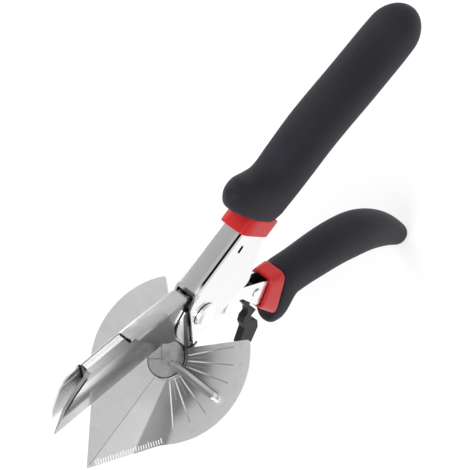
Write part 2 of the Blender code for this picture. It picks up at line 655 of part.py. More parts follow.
def pivot_pieces():
    """Bolt, nut, washer and bush on the axis of the two levers."""
    near = -CHANNEL_HALF_WIDTH - GAP
    far = CHANNEL_HALF_WIDTH + GAP
    nut_face = far + WASHER_THICKNESS + GAP
    end = nut_face + NUT_HEIGHT + GAP
    dome = BOLT_HEAD_HEIGHT * BOLT_DOME_SHARE
    crown = -near + BOLT_HEAD_HEIGHT
    profile = [(0.0, crown), (BOLT_HEAD_RADIUS * HEAD_CROWN_SHARE, crown),
               (BOLT_HEAD_RADIUS * BOLT_SHOULDER_SHARE, crown - dome / 2), (BOLT_HEAD_RADIUS, crown - dome),
               (BOLT_HEAD_RADIUS, -near), (BOLT_RADIUS, -near), (BOLT_RADIUS, -end), (0.0, -end)]
    turned("pivot_bolt", profile, POLISHED, PIVOT)
    washer = [(BOLT_RADIUS + GAP, -far), (WASHER_RADIUS, -far), (WASHER_RADIUS, -far - WASHER_THICKNESS),
              (BOLT_RADIUS + GAP, -far - WASHER_THICKNESS)]
    turned("pivot_washer", washer, BRUSHED, PIVOT)
    nut = cylinder(NUT_RADIUS, nut_face, nut_face + NUT_HEIGHT, PIVOT, steps=6)
    item = add_object("pivot_nut", finish_mesh(nut, "pivot_nut"), POLISHED)
    cut(item, cutter("nut_bore", cylinder(BOLT_RADIUS + GAP, nut_face - CUT_OVERRUN,
                                          nut_face + NUT_HEIGHT + CUT_OVERRUN, PIVOT)))
    half = WAIST_HALF_WIDTH - LEVER_SHEET - GAP
    inside = BOLT_RADIUS + GAP
    bush = [(inside, half), (inside + BUSH_WALL, half), (inside + BUSH_WALL, -half), (inside, -half)]
    turned("pivot_bush", bush, BRUSHED, PIVOT)


def torsion_spring():
    """The opening spring: one wire wound round the bush, with a straight leg at each end."""
    radius = BOLT_RADIUS + GAP + BUSH_WALL + GAP + SPRING_WIRE_RADIUS
    steps = round(SPRING_TURNS * 10)
    points = []
    for k in range(steps + 1):
        share = k / steps
        angle = SPRING_START_ANGLE + 2 * math.pi * SPRING_TURNS * share
        across = (share - 0.5) * SPRING_TURNS * SPRING_PITCH
        points.append(PIVOT + Vector((radius * math.cos(angle), across, radius * math.sin(angle))))

    def leg(end, before):
        along = (end - before)
        along.y = 0.0
        return end + along.normalized() * SPRING_LEG

    points = [leg(points[0], points[1])] + points + [leg(points[-1], points[-2])]
    turns = SPRING_TURNS
    gap = SPRING_PITCH - 2 * SPRING_WIRE_RADIUS
    print(f"torsion spring: {turns} turns, least gap between turns {gap * 1000:.2f} mm")
    curve = bpy.data.curves.new("torsion_spring", "CURVE")
    curve.dimensions = "3D"
    curve.bevel_depth = SPRING_WIRE_RADIUS
    curve.bevel_resolution = 1
    curve.use_fill_caps = True
    curve.render_resolution_u = 0
    spline = curve.splines.new("POLY")
    spline.points.add(len(points) - 1)
    for point, place in zip(spline.points, points):
        point.co = (*place, 1.0)
    curve.materials.append(material("torsion_spring", SPRING_STEEL))
    PARTS.objects.link(bpy.data.objects.new("torsion_spring", curve))


# Anvil and fence

def anvil_and_fence():
    """The round anvil turns in the plate on its stud and takes the fence with it."""
    retainer_top = BRIDGE_BOTTOM - GAP
    stud_end = retainer_top - RETAINER_THICKNESS - GAP
    groove_rim = ANVIL_STUD_RADIUS + ANVIL_GROOVE_WIDTH
    profile = [(0.0, 0.0), (ANVIL_STUD_RADIUS, 0.0), (ANVIL_STUD_RADIUS, -ANVIL_GROOVE_DEPTH),
               (groove_rim, -ANVIL_GROOVE_DEPTH), (groove_rim, 0.0),
               (ANVIL_RADIUS - ANVIL_CHAMFER, 0.0), (ANVIL_RADIUS, -ANVIL_CHAMFER),
               (ANVIL_RADIUS, -ANVIL_THICKNESS), (ANVIL_STUD_RADIUS, -ANVIL_THICKNESS),
               (ANVIL_STUD_RADIUS, stud_end), (0.0, stud_end)]
    anvil = turned("anvil", profile, BRUSHED, (0.0, 0.0, 0.0), "Z", ANVIL_STEPS)
    cut(anvil, cutter("anvil_rivet_bore", cylinder(FENCE_RIVET_RADIUS + GAP, -ANVIL_THICKNESS - CUT_OVERRUN,
                                                   CUT_OVERRUN, (0.0, -FENCE_RIVET_OUT, 0.0), "Z",
                                                   FINE_CIRCLE_STEPS)))
    inside = ANVIL_STUD_RADIUS + GAP
    retainer_foot = retainer_top - RETAINER_THICKNESS
    ring = [(inside, retainer_top), (RETAINER_RADIUS, retainer_top), (RETAINER_RADIUS, retainer_foot),
            (inside, retainer_foot)]
    turned("anvil_retainer", ring, BRUSHED, (0.0, 0.0, 0.0), "Z", FINE_CIRCLE_STEPS)

    outline = arc(0.0, -FENCE_START, FENCE_HALF_WIDTH, 0.0, math.pi, 10)
    outline += [(-FENCE_HALF_WIDTH, -FENCE_REACH, FENCE_END_RADIUS),
                (FENCE_HALF_WIDTH, -FENCE_REACH, FENCE_END_RADIUS)]
    foot = PLATE_TOP + GAP
    body = flat_solid(rounded(outline), foot, FENCE_HEIGHT, upright=False)

    def handle_side_top(edge):
        high = min(v.co.z for v in edge.verts) > FENCE_HEIGHT - GAP
        return high and min(v.co.x for v in edge.verts) > FENCE_HALF_WIDTH - GAP / 2

    round_edges(body, FENCE_CHAMFER, 1, handle_side_top)
    fence = add_object("fence", finish_mesh(body, "fence"), GROUND)
    cut(fence, cutter("fence_anvil_seat", cylinder(ANVIL_RADIUS + GAP, foot - CUT_OVERRUN, GAP, axis="Z",
                                                   steps=ANVIL_STEPS)))
    roof = FENCE_HEIGHT - FENCE_RIVET_COVER
    cut(fence, cutter("fence_rivet_bore", cylinder(FENCE_RIVET_RADIUS + GAP, foot - CUT_OVERRUN, roof,
                                                   (0.0, -FENCE_RIVET_OUT, 0.0), "Z", FINE_CIRCLE_STEPS)))
    rivet = [(0.0, roof - GAP), (FENCE_RIVET_RADIUS, roof - GAP), (FENCE_RIVET_RADIUS, -ANVIL_THICKNESS),
             (0.0, -ANVIL_THICKNESS)]
    turned("fence_rivet", rivet, GROUND, (0.0, -FENCE_RIVET_OUT, 0.0), "Z", FINE_CIRCLE_STEPS)


# Blade lever

def spine_rise(along):
    """How high the jaw's web stands above the pivot's line at a place along the jaw."""
    crest = (JAW_SPINE_CREST_ALONG, JAW_SPINE_RISE)
    rear = (JAW_SPINE_REAR_ALONG, JAW_SPINE_REAR_RISE)
    front = (JAW_SPINE_FRONT_ALONG, JAW_SPINE_FRONT_RISE)
    first, last = (rear, crest) if along < JAW_SPINE_CREST_ALONG else (crest, front)
    return first[1] + (last[1] - first[1]) * (along - first[0]) / (last[0] - first[0])


def under_spine(along, depth, fillet=0.0):
    return at_jaw(along, spine_rise(along) - depth, fillet)


def jaw_outline():
    """Side outline of the jaw, round from the tongue of its web past the nose to the heel."""
    front = [at_jaw(*row) for row in JAW_NOSE]
    return [
        under_spine(JAW_SPINE_REAR_ALONG, 0.0),
        under_spine(LOBE_ALONG + 2 * LEVER_SHEET, 0.0),
        under_spine(JAW_SPINE_CREST_ALONG, 0.0, JAW_SPINE_RADIUS),
        under_spine(JAW_SPINE_FRONT_ALONG, 0.0, JAW_SPINE_RADIUS),
        *front,
        at_jaw(JAW_HEEL_ALONG + JAW_HEEL_SLOPE, JAW_HEEL_RISE, JAW_HEEL_RADIUS),
        at_jaw(JAW_HEEL_ALONG, JAW_HEEL_RISE - JAW_HEEL_DROP, JAW_FOOT_RADIUS),
        at_jaw(JAW_WAIST_ALONG, JAW_WAIST_RISE, JAW_SPINE_RADIUS),
        under_spine(LOBE_ALONG, TONGUE_DEPTH, LOBE_RADIUS),
        under_spine(JAW_SPINE_REAR_ALONG + TONGUE_DEPTH, TONGUE_DEPTH)]


def waist_outline():
    """Side outline of the narrow part: round the pivot, with a neck to the jaw and one to the handle."""
    half = LEVER_SHEET / 2
    top = under_spine(JAW_SPINE_REAR_ALONG + TONGUE_DEPTH, half)
    foot = at_jaw(JAW_HEEL_ALONG + half, JAW_HEEL_RISE - JAW_HEEL_DROP + half)
    shank = HANDLE_HALF_DEPTH - GAP

    def direction(point):
        return math.atan2(point[1] - PIVOT.z, point[0] - PIVOT.x)

    def tangent(point):
        return math.acos(WAIST_RADIUS / math.hypot(point[0] - PIVOT.x, point[1] - PIVOT.z))

    leave = math.asin(shank / WAIST_RADIUS)
    outline = [at_jaw(JAW_WAIST_ALONG + half, JAW_WAIST_RISE), under_spine(LOBE_ALONG + half, half), top]
    outline += arc(PIVOT.x, PIVOT.z, WAIST_RADIUS, direction(top) - tangent(top), leave - HANDLE_ANGLE, 12)
    outline += [at_handle(HANDLE_WIDE_START + half, -shank), at_handle(HANDLE_WIDE_START + half, shank)]
    outline += arc(PIVOT.x, PIVOT.z, WAIST_RADIUS, -HANDLE_ANGLE - leave,
                   direction(foot) + tangent(foot) - 2 * math.pi, 12)
    return outline + [foot]


def jaw_place():
    """The matrix that puts a shape drawn with the jaw level, tip to -X, in the open jaw's place."""
    return Matrix.Translation(PIVOT) @ Matrix.Rotation(OPENING_ANGLE, 4, "Y")


def blade_lever():
    """Jaw, waist and lower handle: one pressing, wide at both ends and narrow where it crosses."""
    body = flat_solid(rounded(jaw_outline()), -JAW_HALF_WIDTH, JAW_HALF_WIDTH)

    def on_spine(edge, side, start):
        middle = (edge.verts[0].co + edge.verts[1].co) / 2 - PIVOT
        along = middle.dot(JAW_LINE)
        high = middle.dot(JAW_RISE) > spine_rise(along) - GAP
        in_reach = start < along < JAW_SPINE_FRONT_ALONG
        return along_outline(edge) and high and in_reach and middle.y * side > 0.0

    lobe = LOBE_ALONG + 2 * LEVER_SHEET
    round_edges(body, JAW_NEAR_BEND, 5, lambda edge: on_spine(edge, -1, lobe))
    round_edges(body, JAW_BEND, 4, lambda edge: on_spine(edge, 1, JAW_SPINE_REAR_ALONG + GAP))
    lever = add_object("blade_lever", finish_mesh(body, "blade_lever"), POLISHED)
    waist = rounded(waist_outline())
    join(lever, cutter("waist", flat_solid(waist, -WAIST_HALF_WIDTH, WAIST_HALF_WIDTH)))
    deep = HANDLE_HALF_DEPTH
    handle = flat_solid([at_handle(HANDLE_WIDE_START, -deep), at_handle(HANDLE_WIDE_START, deep),
                         at_handle(HANDLE_TANG, deep), at_handle(HANDLE_TANG, -deep)],
                        -JAW_HALF_WIDTH, JAW_HALF_WIDTH)

    def on_handle_web(edge):
        return along_outline(edge) and min((v.co - PIVOT).dot(HANDLE_FRONT) for v in edge.verts) > deep - GAP

    round_edges(handle, JAW_BEND, 4, on_handle_web)
    join(lever, cutter("handle_channel", handle))
    hollow_blade_lever(lever)
    trim_blade_lever(lever)
    bore_blade_lever(lever)
    place_origin(lever, PIVOT)


def hollow_blade_lever(lever):
    """Leaves the pressing's sheet: hollows in the jaw and the handle and a slot through the waist."""
    sheet = LEVER_SHEET
    inner = JAW_HALF_WIDTH - sheet
    below = -EDGE_DROP - CUT_OVERRUN
    ahead = BLADE_TIP_ALONG + CUT_OVERRUN
    jaw = [at_jaw(JAW_HEEL_ALONG + sheet, below),
           at_jaw(JAW_HEEL_ALONG + sheet, JAW_HEEL_RISE - JAW_HEEL_DROP),
           at_jaw(JAW_WAIST_ALONG + sheet, JAW_WAIST_RISE, JAW_SPINE_RADIUS),
           under_spine(LOBE_ALONG + sheet, TONGUE_DEPTH, LOBE_RADIUS),
           under_spine(LOBE_ALONG + 2 * sheet, sheet),
           under_spine(JAW_SPINE_CREST_ALONG, sheet, JAW_SPINE_RADIUS),
           under_spine(JAW_SPINE_FRONT_ALONG, sheet),
           under_spine(ahead, sheet), at_jaw(ahead, below)]
    hollow = flat_solid(rounded(jaw), -inner, inner)

    def near_top(edge):
        middle = (edge.verts[0].co + edge.verts[1].co) / 2 - PIVOT
        along = middle.dot(JAW_LINE)
        high = middle.dot(JAW_RISE) > spine_rise(along) - sheet - GAP
        return along_outline(edge) and high and middle.y < 0.0 and along > LOBE_ALONG + 2 * sheet

    round_edges(hollow, JAW_NEAR_BEND - sheet, 3, near_top)
    cut(lever, cutter("jaw_hollow", hollow))
    start = HANDLE_WIDE_START + sheet
    deep = HANDLE_HALF_DEPTH - sheet
    rear = -HANDLE_HALF_DEPTH - CUT_OVERRUN
    end = HANDLE_TANG + CUT_OVERRUN
    trough = [at_handle(start, rear), at_handle(start, deep), at_handle(end, deep), at_handle(end, rear)]
    cut(lever, cutter("handle_hollow", flat_solid(trough, -inner, inner)))
    through = LOBE_ALONG + 2 * sheet
    far = WAIST_RADIUS + CUT_OVERRUN
    slot = [under_spine(through, TONGUE_DEPTH + GAP / 2), under_spine(0.0, TONGUE_DEPTH + GAP / 2),
            at_jaw(-far, JAW_SPINE_REAR_RISE - TONGUE_DEPTH), at_handle(start + sheet, -far),
            at_handle(start + sheet, deep - GAP / 2),
            at_handle(HANDLE_WIDE_START - GAP / 2, deep - GAP / 2),
            at_handle(HANDLE_WIDE_START - GAP / 2, far),
            at_jaw(through, -far)]
    side = WAIST_HALF_WIDTH - sheet
    cut(lever, cutter("waist_slot", flat_solid(slot, -side, side)))


def trim_blade_lever(lever):
    """The near cheek's curved end, the cut-out over the blade and the mouth for the latch."""
    outside = JAW_HALF_WIDTH + CUT_OVERRUN
    below = -EDGE_DROP - CUT_OVERRUN
    above = JAW_SPINE_RISE + CUT_OVERRUN
    ahead = BLADE_TIP_ALONG + CUT_OVERRUN
    sweep = [at_jaw(CHEEK_EDGE[0][0], below), *[at_jaw(*row) for row in CHEEK_EDGE],
             at_jaw(CHEEK_EDGE[-1][0], above), at_jaw(ahead, above), at_jaw(ahead, below)]
    cut(lever, cutter("near_cheek_end", flat_solid(rounded(sweep, 6), -outside, -BLADE_THICKNESS - GAP / 2)))
    wall = WEB_EDGE[-1][1]
    plan = [(-WEB_EDGE[0][0], -outside, 0.0),
            *[(-along, across, radius) for along, across, radius in WEB_EDGE],
            (-ahead, wall, 0.0), (-ahead, -outside, 0.0)]
    top = flat_solid(rounded(plan), JAW_WEB_CUT_RISE, above, upright=False)
    bmesh.ops.transform(top, matrix=jaw_place(), verts=top.verts)
    cut(lever, cutter("web_cut_out", top))
    front = HANDLE_HALF_DEPTH + CUT_OVERRUN
    bottom = HANDLE_HALF_DEPTH - LATCH_NOTCH_DEPTH
    mouth = [at_handle(LATCH_NOTCH_START, front), at_handle(LATCH_NOTCH_START, bottom, HANDLE_CORNER_RADIUS),
             at_handle(LATCH_NOTCH_START + LATCH_NOTCH_FLAT, bottom, HANDLE_CORNER_RADIUS),
             at_handle(LATCH_NOTCH_END, HANDLE_HALF_DEPTH - LEVER_SHEET / 2),
             at_handle(LATCH_NOTCH_END, front)]
    cut(lever, cutter("latch_mouth", flat_solid(rounded(mouth), -outside, outside)))


def bore_blade_lever(lever):
    outside = JAW_HALF_WIDTH + CUT_OVERRUN
    cut(lever, cutter("lever_pivot_bore", cylinder(BOLT_RADIUS + GAP, -outside, outside, PIVOT)))
    cut(lever, cutter("lever_latch_bore", cylinder(LATCH_PIN_RADIUS + GAP, -outside, outside, latch_centre(),
                                                   steps=FINE_CIRCLE_STEPS)))
    for word, centre in blade_screw_centres():
        hole = cylinder(BLADE_SCREW_RADIUS + GAP, GAP, outside, centre, steps=FINE_CIRCLE_STEPS)
        cut(lever, cutter(f"lever_screw_bore_{word}", hole))


def blade_screw_centres():
    rear = at_jaw(BLADE_SCREW_FIRST_ALONG, BLADE_SCREW_RISE)
    front = at_jaw(BLADE_SCREW_FIRST_ALONG + BLADE_SCREW_PITCH, BLADE_SCREW_RISE)
    return (("rear", Vector((rear[0], 0.0, rear[1]))), ("front", Vector((front[0], 0.0, front[1]))))


def under_web(inset):
    """The top edge of a piece under the jaw's web, which steps up to stand flush in front of the web."""
    clear = LEVER_SHEET + GAP
    return [under_spine(BLADE_HEEL_ALONG + inset, clear + LOBE_RADIUS),
            under_spine(BLADE_HEEL_ALONG + LOBE_RADIUS + inset, clear + GAP),
            under_spine(BLADE_STEP_ALONG, clear + GAP),
            under_spine(BLADE_STEP_ALONG + GAP, GAP)]


def blade_outline():
    top = under_web(0.0) + [under_spine(BLADE_SHOULDER_ALONG, GAP, LEVER_SHEET)]
    nose = [at_jaw(*row) for row in BLADE_NOSE]
    return [at_jaw(BLADE_HEEL_ALONG, -EDGE_DROP), *top, *nose, at_jaw(BLADE_TIP_ALONG, -EDGE_DROP)]


def spacer_outline():
    foot = SPACER_INSET - EDGE_DROP
    return [at_jaw(BLADE_HEEL_ALONG + SPACER_INSET, foot), *under_web(SPACER_INSET),
            under_spine(SPACER_FRONT_ALONG, GAP), at_jaw(SPACER_FRONT_ALONG, foot)]


def blade_pieces():
    """The blade, flat on its far side and ground on its near side, the spacer behind it and its screws."""
    blade_body = flat_solid(rounded(blade_outline()), -BLADE_THICKNESS, 0.0)
    blade = add_object("blade", finish_mesh(blade_body, "blade"), GROUND)
    lean = math.atan2(BLADE_THICKNESS - BLADE_EDGE_THICKNESS, BLADE_BEVEL_HEIGHT)
    stone = box((-BLADE_TIP_ALONG - CUT_OVERRUN, -BLADE_BEVEL_HEIGHT, -CUT_OVERRUN),
                (0.0, 0.0, BLADE_BEVEL_HEIGHT + CUT_OVERRUN))
    # The grinding tool's face stands on the edge and leans out over the blade's near side.
    edge = Matrix.Translation((0.0, -BLADE_EDGE_THICKNESS, -EDGE_DROP)) @ Matrix.Rotation(lean, 4, "X")
    bmesh.ops.transform(stone, matrix=jaw_place() @ edge, verts=stone.verts)
    cut(blade, cutter("blade_grind", stone))
    spacer_body = flat_solid(rounded(spacer_outline()), GAP, JAW_HALF_WIDTH - LEVER_SHEET - GAP)
    spacer = add_object("blade_spacer", finish_mesh(spacer_body, "blade_spacer"), BRUSHED)
    depth = BLADE_SCREW_COVER - BLADE_THICKNESS
    face = JAW_HALF_WIDTH + GAP
    for word, centre in blade_screw_centres():
        hole = cylinder(BLADE_SCREW_RADIUS + GAP, depth, face + CUT_OVERRUN, centre, steps=FINE_CIRCLE_STEPS)
        tool = cutter(f"blade_screw_bore_{word}", hole)
        cut(blade, tool)
        cut(spacer, tool)
        top = face + BLADE_SCREW_HEAD_HEIGHT
        waist = -face - BLADE_SCREW_HEAD_HEIGHT / 2
        profile = [(0.0, -depth - GAP), (BLADE_SCREW_RADIUS, -depth - GAP), (BLADE_SCREW_RADIUS, -face),
                   (BLADE_SCREW_HEAD_RADIUS, -face), (BLADE_SCREW_HEAD_RADIUS, waist),
                   (BLADE_SCREW_HEAD_RADIUS * HEAD_CROWN_SHARE, -top), (0.0, -top)]
        turned(f"blade_screw_{word}", profile, POLISHED, centre, steps=FINE_CIRCLE_STEPS)


# Grips and collars

def grip_mesh(name, centres, ups, sizes):
    rings = [oval_ring(centre, up, half_width, rise, drop, 2.3)
             for centre, up, (half_width, rise, drop) in zip(centres, ups, sizes)]
    return loft(rings, name)


def rounded_end(share, start):
    """The factor that closes a grip's end as a part of an ellipse."""
    past = max(0.0, share - start) / (1 - start)
    return math.sqrt(1 - past * past * GRIP_END_SHARE)


def grip_sizes(table, share, end_share):
    """Half-width, rise and drop of a grip's ring."""
    width, rise, drop = smooth_table(table, share)
    scale = rounded_end(share, end_share)
    return width * GRIP_HALF_WIDTH * scale, rise * GRIP_HALF_HEIGHT * scale, drop * GRIP_HALF_HEIGHT * scale


def upper_grip():
    """The straight upper grip, with its guard on top behind the collar."""
    front = UPPER_COLLAR_BACK + COLLAR_LENGTH + GAP
    heights = [(0.0, UPPER_GRIP_FRONT_RISE), (0.35, UPPER_GRIP_CREST_RISE), (0.66, UPPER_GRIP_MIDDLE_RISE),
               (1.0, UPPER_GRIP_END_RISE)]
    centres, ups, sizes = [], [], []
    for share in GRIP_RING_SHARES:
        height, = smooth_table(heights, share)
        leaning = max(0.0, 1 - share / GRIP_LEAN_SHARE)
        lean = COLLAR_SLANT * leaning
        x = front + (UPPER_GRIP_END - front) * share + math.sin(COLLAR_SLANT) * UPPER_LEAN_SHIFT * leaning
        centres.append(Vector((x, 0.0, PLATE_TOP + height)))
        ups.append(Vector((-math.sin(lean), 0.0, math.cos(lean))))
        sizes.append(grip_sizes(UPPER_SECTION_SHARES, share, UPPER_END_SHARE))
    grip = add_object("upper_grip", grip_mesh("upper_grip", centres, ups, sizes), BLACK_GRIP)
    wall = CHANNEL_HALF_WIDTH + GAP
    floor = WEB_ABOVE_PLATE - TANG_DEPTH - GAP
    pocket = [above_plate(UPPER_COLLAR_BACK - CUT_OVERRUN, floor), above_plate(TANG_END + GAP, floor),
              above_plate(TANG_END + GAP, WEB_ABOVE_PLATE + GAP),
              above_plate(UPPER_COLLAR_BACK - CUT_OVERRUN, WEB_ABOVE_PLATE + GAP)]
    cut(grip, cutter("upper_grip_pocket", flat_solid(pocket, -wall, wall)))
    return centres[0], ups[0]


def collar(name, front, rear):
    """A red collar between two rings, each given as (centre, up, rise, drop, half-width)."""
    front_centre, front_up, front_rise, front_drop, width = front
    rear_centre, rear_up, rear_rise, rear_drop, rear_width = rear
    rings = []
    for share in COLLAR_RING_SHARES:
        centre = front_centre.lerp(rear_centre, share)
        up = front_up.lerp(rear_up, share).normalized()
        ease = 1.0 if 0.0 < share < 1.0 else COLLAR_EASE_SHARE
        rings.append(oval_ring(centre, up, (width + (rear_width - width) * share) * ease,
                               (front_rise + (rear_rise - front_rise) * share) * ease,
                               (front_drop + (rear_drop - front_drop) * share) * ease, 5.0, 32))
    return add_object(name, loft(rings, name), RED_PLASTIC)


def upper_collar(grip_front, grip_up):
    """The red collar round the anvil lever in front of the upper grip."""
    middle = WEB_ABOVE_PLATE - UPPER_COLLAR_HALF_HEIGHT + COLLAR_WALL
    across = CHANNEL_HALF_WIDTH + GAP + COLLAR_WALL
    axis = Vector((math.cos(COLLAR_SLANT), 0.0, math.sin(COLLAR_SLANT)))
    rear = grip_front.copy()
    rear.z = PLATE_TOP + middle
    rear.x = grip_front.x + (grip_front.z - rear.z) * math.tan(COLLAR_SLANT)
    rear -= axis * GAP
    front = rear - Vector((COLLAR_LENGTH, 0.0, 0.0))
    half = UPPER_COLLAR_HALF_HEIGHT / math.cos(COLLAR_SLANT)
    ring = collar("upper_collar", (front, grip_up, half, half, across), (rear, grip_up, half, half, across))
    wall = CHANNEL_HALF_WIDTH + GAP
    low = middle - UPPER_COLLAR_HALF_HEIGHT + COLLAR_WALL
    reach = UPPER_COLLAR_HALF_HEIGHT
    hole = box((front.x - reach, -wall, PLATE_TOP + low),
               (rear.x + reach, wall, PLATE_TOP + WEB_ABOVE_PLATE + GAP))
    cut(ring, cutter("upper_collar_hole", hole))


def lower_grip():
    """The curved lower grip, with its guard below and in front."""
    controls = [Vector((back, 0.0, PLATE_TOP - below)) for back, below in (
        (LOWER_GRIP_FRONT_BACK, LOWER_GRIP_FRONT_DROP), (LOWER_GRIP_RISE_BACK, LOWER_GRIP_RISE_DROP),
        (LOWER_GRIP_TURN_BACK, LOWER_GRIP_TURN_DROP), (LOWER_GRIP_END_BACK, LOWER_GRIP_END_DROP))]

    def place(t):
        u = 1 - t
        return (controls[0] * u ** 3 + controls[1] * 3 * u * u * t + controls[2] * 3 * u * t * t
                + controls[3] * t ** 3)

    def heading(t):
        u = 1 - t
        return ((controls[1] - controls[0]) * u * u + (controls[2] - controls[1]) * 2 * u * t
                + (controls[3] - controls[2]) * t * t).normalized()

    first = Vector((math.sin(LOWER_COLLAR_TURN), 0.0, math.cos(LOWER_COLLAR_TURN)))
    centres, ups, sizes = [], [], []
    for share in GRIP_RING_SHARES:
        along = heading(share)
        up = Vector((-along.z, 0.0, along.x))
        centres.append(place(share))
        ups.append(up.lerp(first, max(0.0, 1 - share / GRIP_LEAN_SHARE)).normalized())
        sizes.append(grip_sizes(LOWER_SECTION_SHARES, share, LOWER_END_SHARE))
    grip = add_object("lower_grip", grip_mesh("lower_grip", centres, ups, sizes), BLACK_GRIP)
    wall = JAW_HALF_WIDTH + GAP
    side = HANDLE_HALF_DEPTH + GAP
    pocket = [at_handle(HANDLE_RIM, -side), at_handle(HANDLE_RIM, side), at_handle(HANDLE_TANG + GAP, side),
              at_handle(HANDLE_TANG + GAP, -side)]
    cut(grip, cutter("lower_grip_pocket", flat_solid(pocket, -wall, wall)))
    place_origin(grip, PIVOT)
    return centres[0], first


def lower_collar(grip_front, grip_up):
    """The red collar of the lower handle, a wedge that turns the channel's line into the grip's."""
    across = JAW_HALF_WIDTH + GAP + COLLAR_WALL
    out = Vector((grip_up.z, 0.0, -grip_up.x))
    rear = grip_front - out * GAP
    front = PIVOT + HANDLE_LINE * HANDLE_RIM
    half = HANDLE_HALF_DEPTH + GAP + COLLAR_WALL
    ring = collar("lower_collar", (front, -HANDLE_FRONT, half, half, across),
                  (rear, grip_up, LOWER_COLLAR_REAR_RISE, LOWER_COLLAR_REAR_DROP,
                   across * LOWER_COLLAR_FLARE_SHARE))
    wall = JAW_HALF_WIDTH + GAP
    side = HANDLE_HALF_DEPTH + GAP
    hole = [at_handle(HANDLE_RIM - CUT_OVERRUN, -side), at_handle(HANDLE_RIM - CUT_OVERRUN, side),
            at_handle(HANDLE_TANG + CUT_OVERRUN, side), at_handle(HANDLE_TANG + CUT_OVERRUN, -side)]
    cut(ring, cutter("lower_collar_hole", flat_solid(hole, -wall, wall)))
    place_origin(ring, PIVOT)


# Latch

def latch_pieces():
    """The black catch in the lower handle and the pin that it swings on."""
    centre = latch_centre()
    corners = [at_handle(LATCH_PIN_ALONG + along, LATCH_PIN_FRONT + front, radius)
               for along, front, radius in LATCH_OUTLINE]
    body = flat_solid(rounded(corners), -LATCH_HALF_WIDTH, LATCH_HALF_WIDTH)
    latch = add_object("safety_latch", finish_mesh(body, "safety_latch"), BLACK_PLASTIC)
    cut(latch, cutter("latch_bore", cylinder(LATCH_PIN_RADIUS + GAP, -JAW_HALF_WIDTH, JAW_HALF_WIDTH, centre,
                                             steps=FINE_CIRCLE_STEPS)))
    place_origin(latch, centre)
    face = JAW_HALF_WIDTH + GAP
    head = face + LATCH_PIN_HEAD_HEIGHT
    profile = [(0.0, head), (LATCH_PIN_HEAD_RADIUS * HEAD_CROWN_SHARE, head), (LATCH_PIN_HEAD_RADIUS, face),
               (LATCH_PIN_RADIUS, face), (LATCH_PIN_RADIUS, -face), (LATCH_PIN_HEAD_RADIUS, -face),
               (LATCH_PIN_HEAD_RADIUS * HEAD_CROWN_SHARE, -head), (0.0, -head)]
    turned("latch_pin", profile, BRUSHED, centre, steps=FINE_CIRCLE_STEPS)


def place_origin(item, centre):
    """Put an object's origin on its joint's axis without moving its shape."""
    item.data.transform(Matrix.Translation(-Vector(centre)))
    item.location = centre


def main():
    lever_channel()
    carrier()
    angle_plate()
    carrier_rivets()
    pivot_pieces()
    torsion_spring()
    anvil_and_fence()
    blade_lever()
    blade_pieces()
    upper_collar(*upper_grip())
    lower_collar(*lower_grip())
    latch_pieces()


main()
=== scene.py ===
"""Mitre shears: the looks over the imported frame.

Metres, in the frame of the solids: the origin is the centre of the anvil's face, the handles lie towards
+X, the plate's point towards -X and the fence stands out towards -Y.
"""
import json
import logging
import math
from dataclasses import dataclass
from enum import Enum

import bmesh
import bpy
import numpy as np
from bpy.types import Material, Mesh, Node, NodeSocket, NodeTree, Object
from mathutils import Matrix, Vector

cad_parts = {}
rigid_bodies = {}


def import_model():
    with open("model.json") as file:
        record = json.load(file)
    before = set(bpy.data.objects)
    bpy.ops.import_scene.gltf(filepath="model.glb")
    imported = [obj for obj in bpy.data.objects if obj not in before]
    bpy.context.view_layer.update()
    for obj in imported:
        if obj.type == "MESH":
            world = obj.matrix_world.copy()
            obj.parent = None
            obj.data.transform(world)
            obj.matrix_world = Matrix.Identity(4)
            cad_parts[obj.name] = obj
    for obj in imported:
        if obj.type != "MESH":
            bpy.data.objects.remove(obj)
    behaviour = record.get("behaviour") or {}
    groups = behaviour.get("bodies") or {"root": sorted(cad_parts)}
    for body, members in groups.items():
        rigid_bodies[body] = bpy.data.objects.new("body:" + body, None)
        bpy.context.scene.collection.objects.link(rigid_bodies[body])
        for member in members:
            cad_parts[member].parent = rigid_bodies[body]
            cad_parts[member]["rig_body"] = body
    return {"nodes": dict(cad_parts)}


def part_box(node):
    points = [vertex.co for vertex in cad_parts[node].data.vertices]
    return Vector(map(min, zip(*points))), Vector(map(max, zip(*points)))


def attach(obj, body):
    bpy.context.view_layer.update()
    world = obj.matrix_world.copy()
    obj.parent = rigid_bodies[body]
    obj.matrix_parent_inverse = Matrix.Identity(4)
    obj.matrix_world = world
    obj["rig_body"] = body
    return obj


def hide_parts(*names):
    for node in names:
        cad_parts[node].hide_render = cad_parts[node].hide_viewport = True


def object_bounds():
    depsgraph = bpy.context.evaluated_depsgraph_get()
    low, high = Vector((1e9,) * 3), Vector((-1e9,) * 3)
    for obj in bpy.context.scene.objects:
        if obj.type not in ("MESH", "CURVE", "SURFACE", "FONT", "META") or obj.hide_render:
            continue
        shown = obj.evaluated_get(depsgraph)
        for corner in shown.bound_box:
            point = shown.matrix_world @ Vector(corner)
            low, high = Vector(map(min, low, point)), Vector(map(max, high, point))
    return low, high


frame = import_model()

logging.basicConfig(level=logging.INFO, format="%(message)s")
LOG = logging.getLogger("mitre_shears")
CAD_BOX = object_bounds()
MM = 0.001
Triple = tuple[float, float, float]

# Numbers that several pieces share

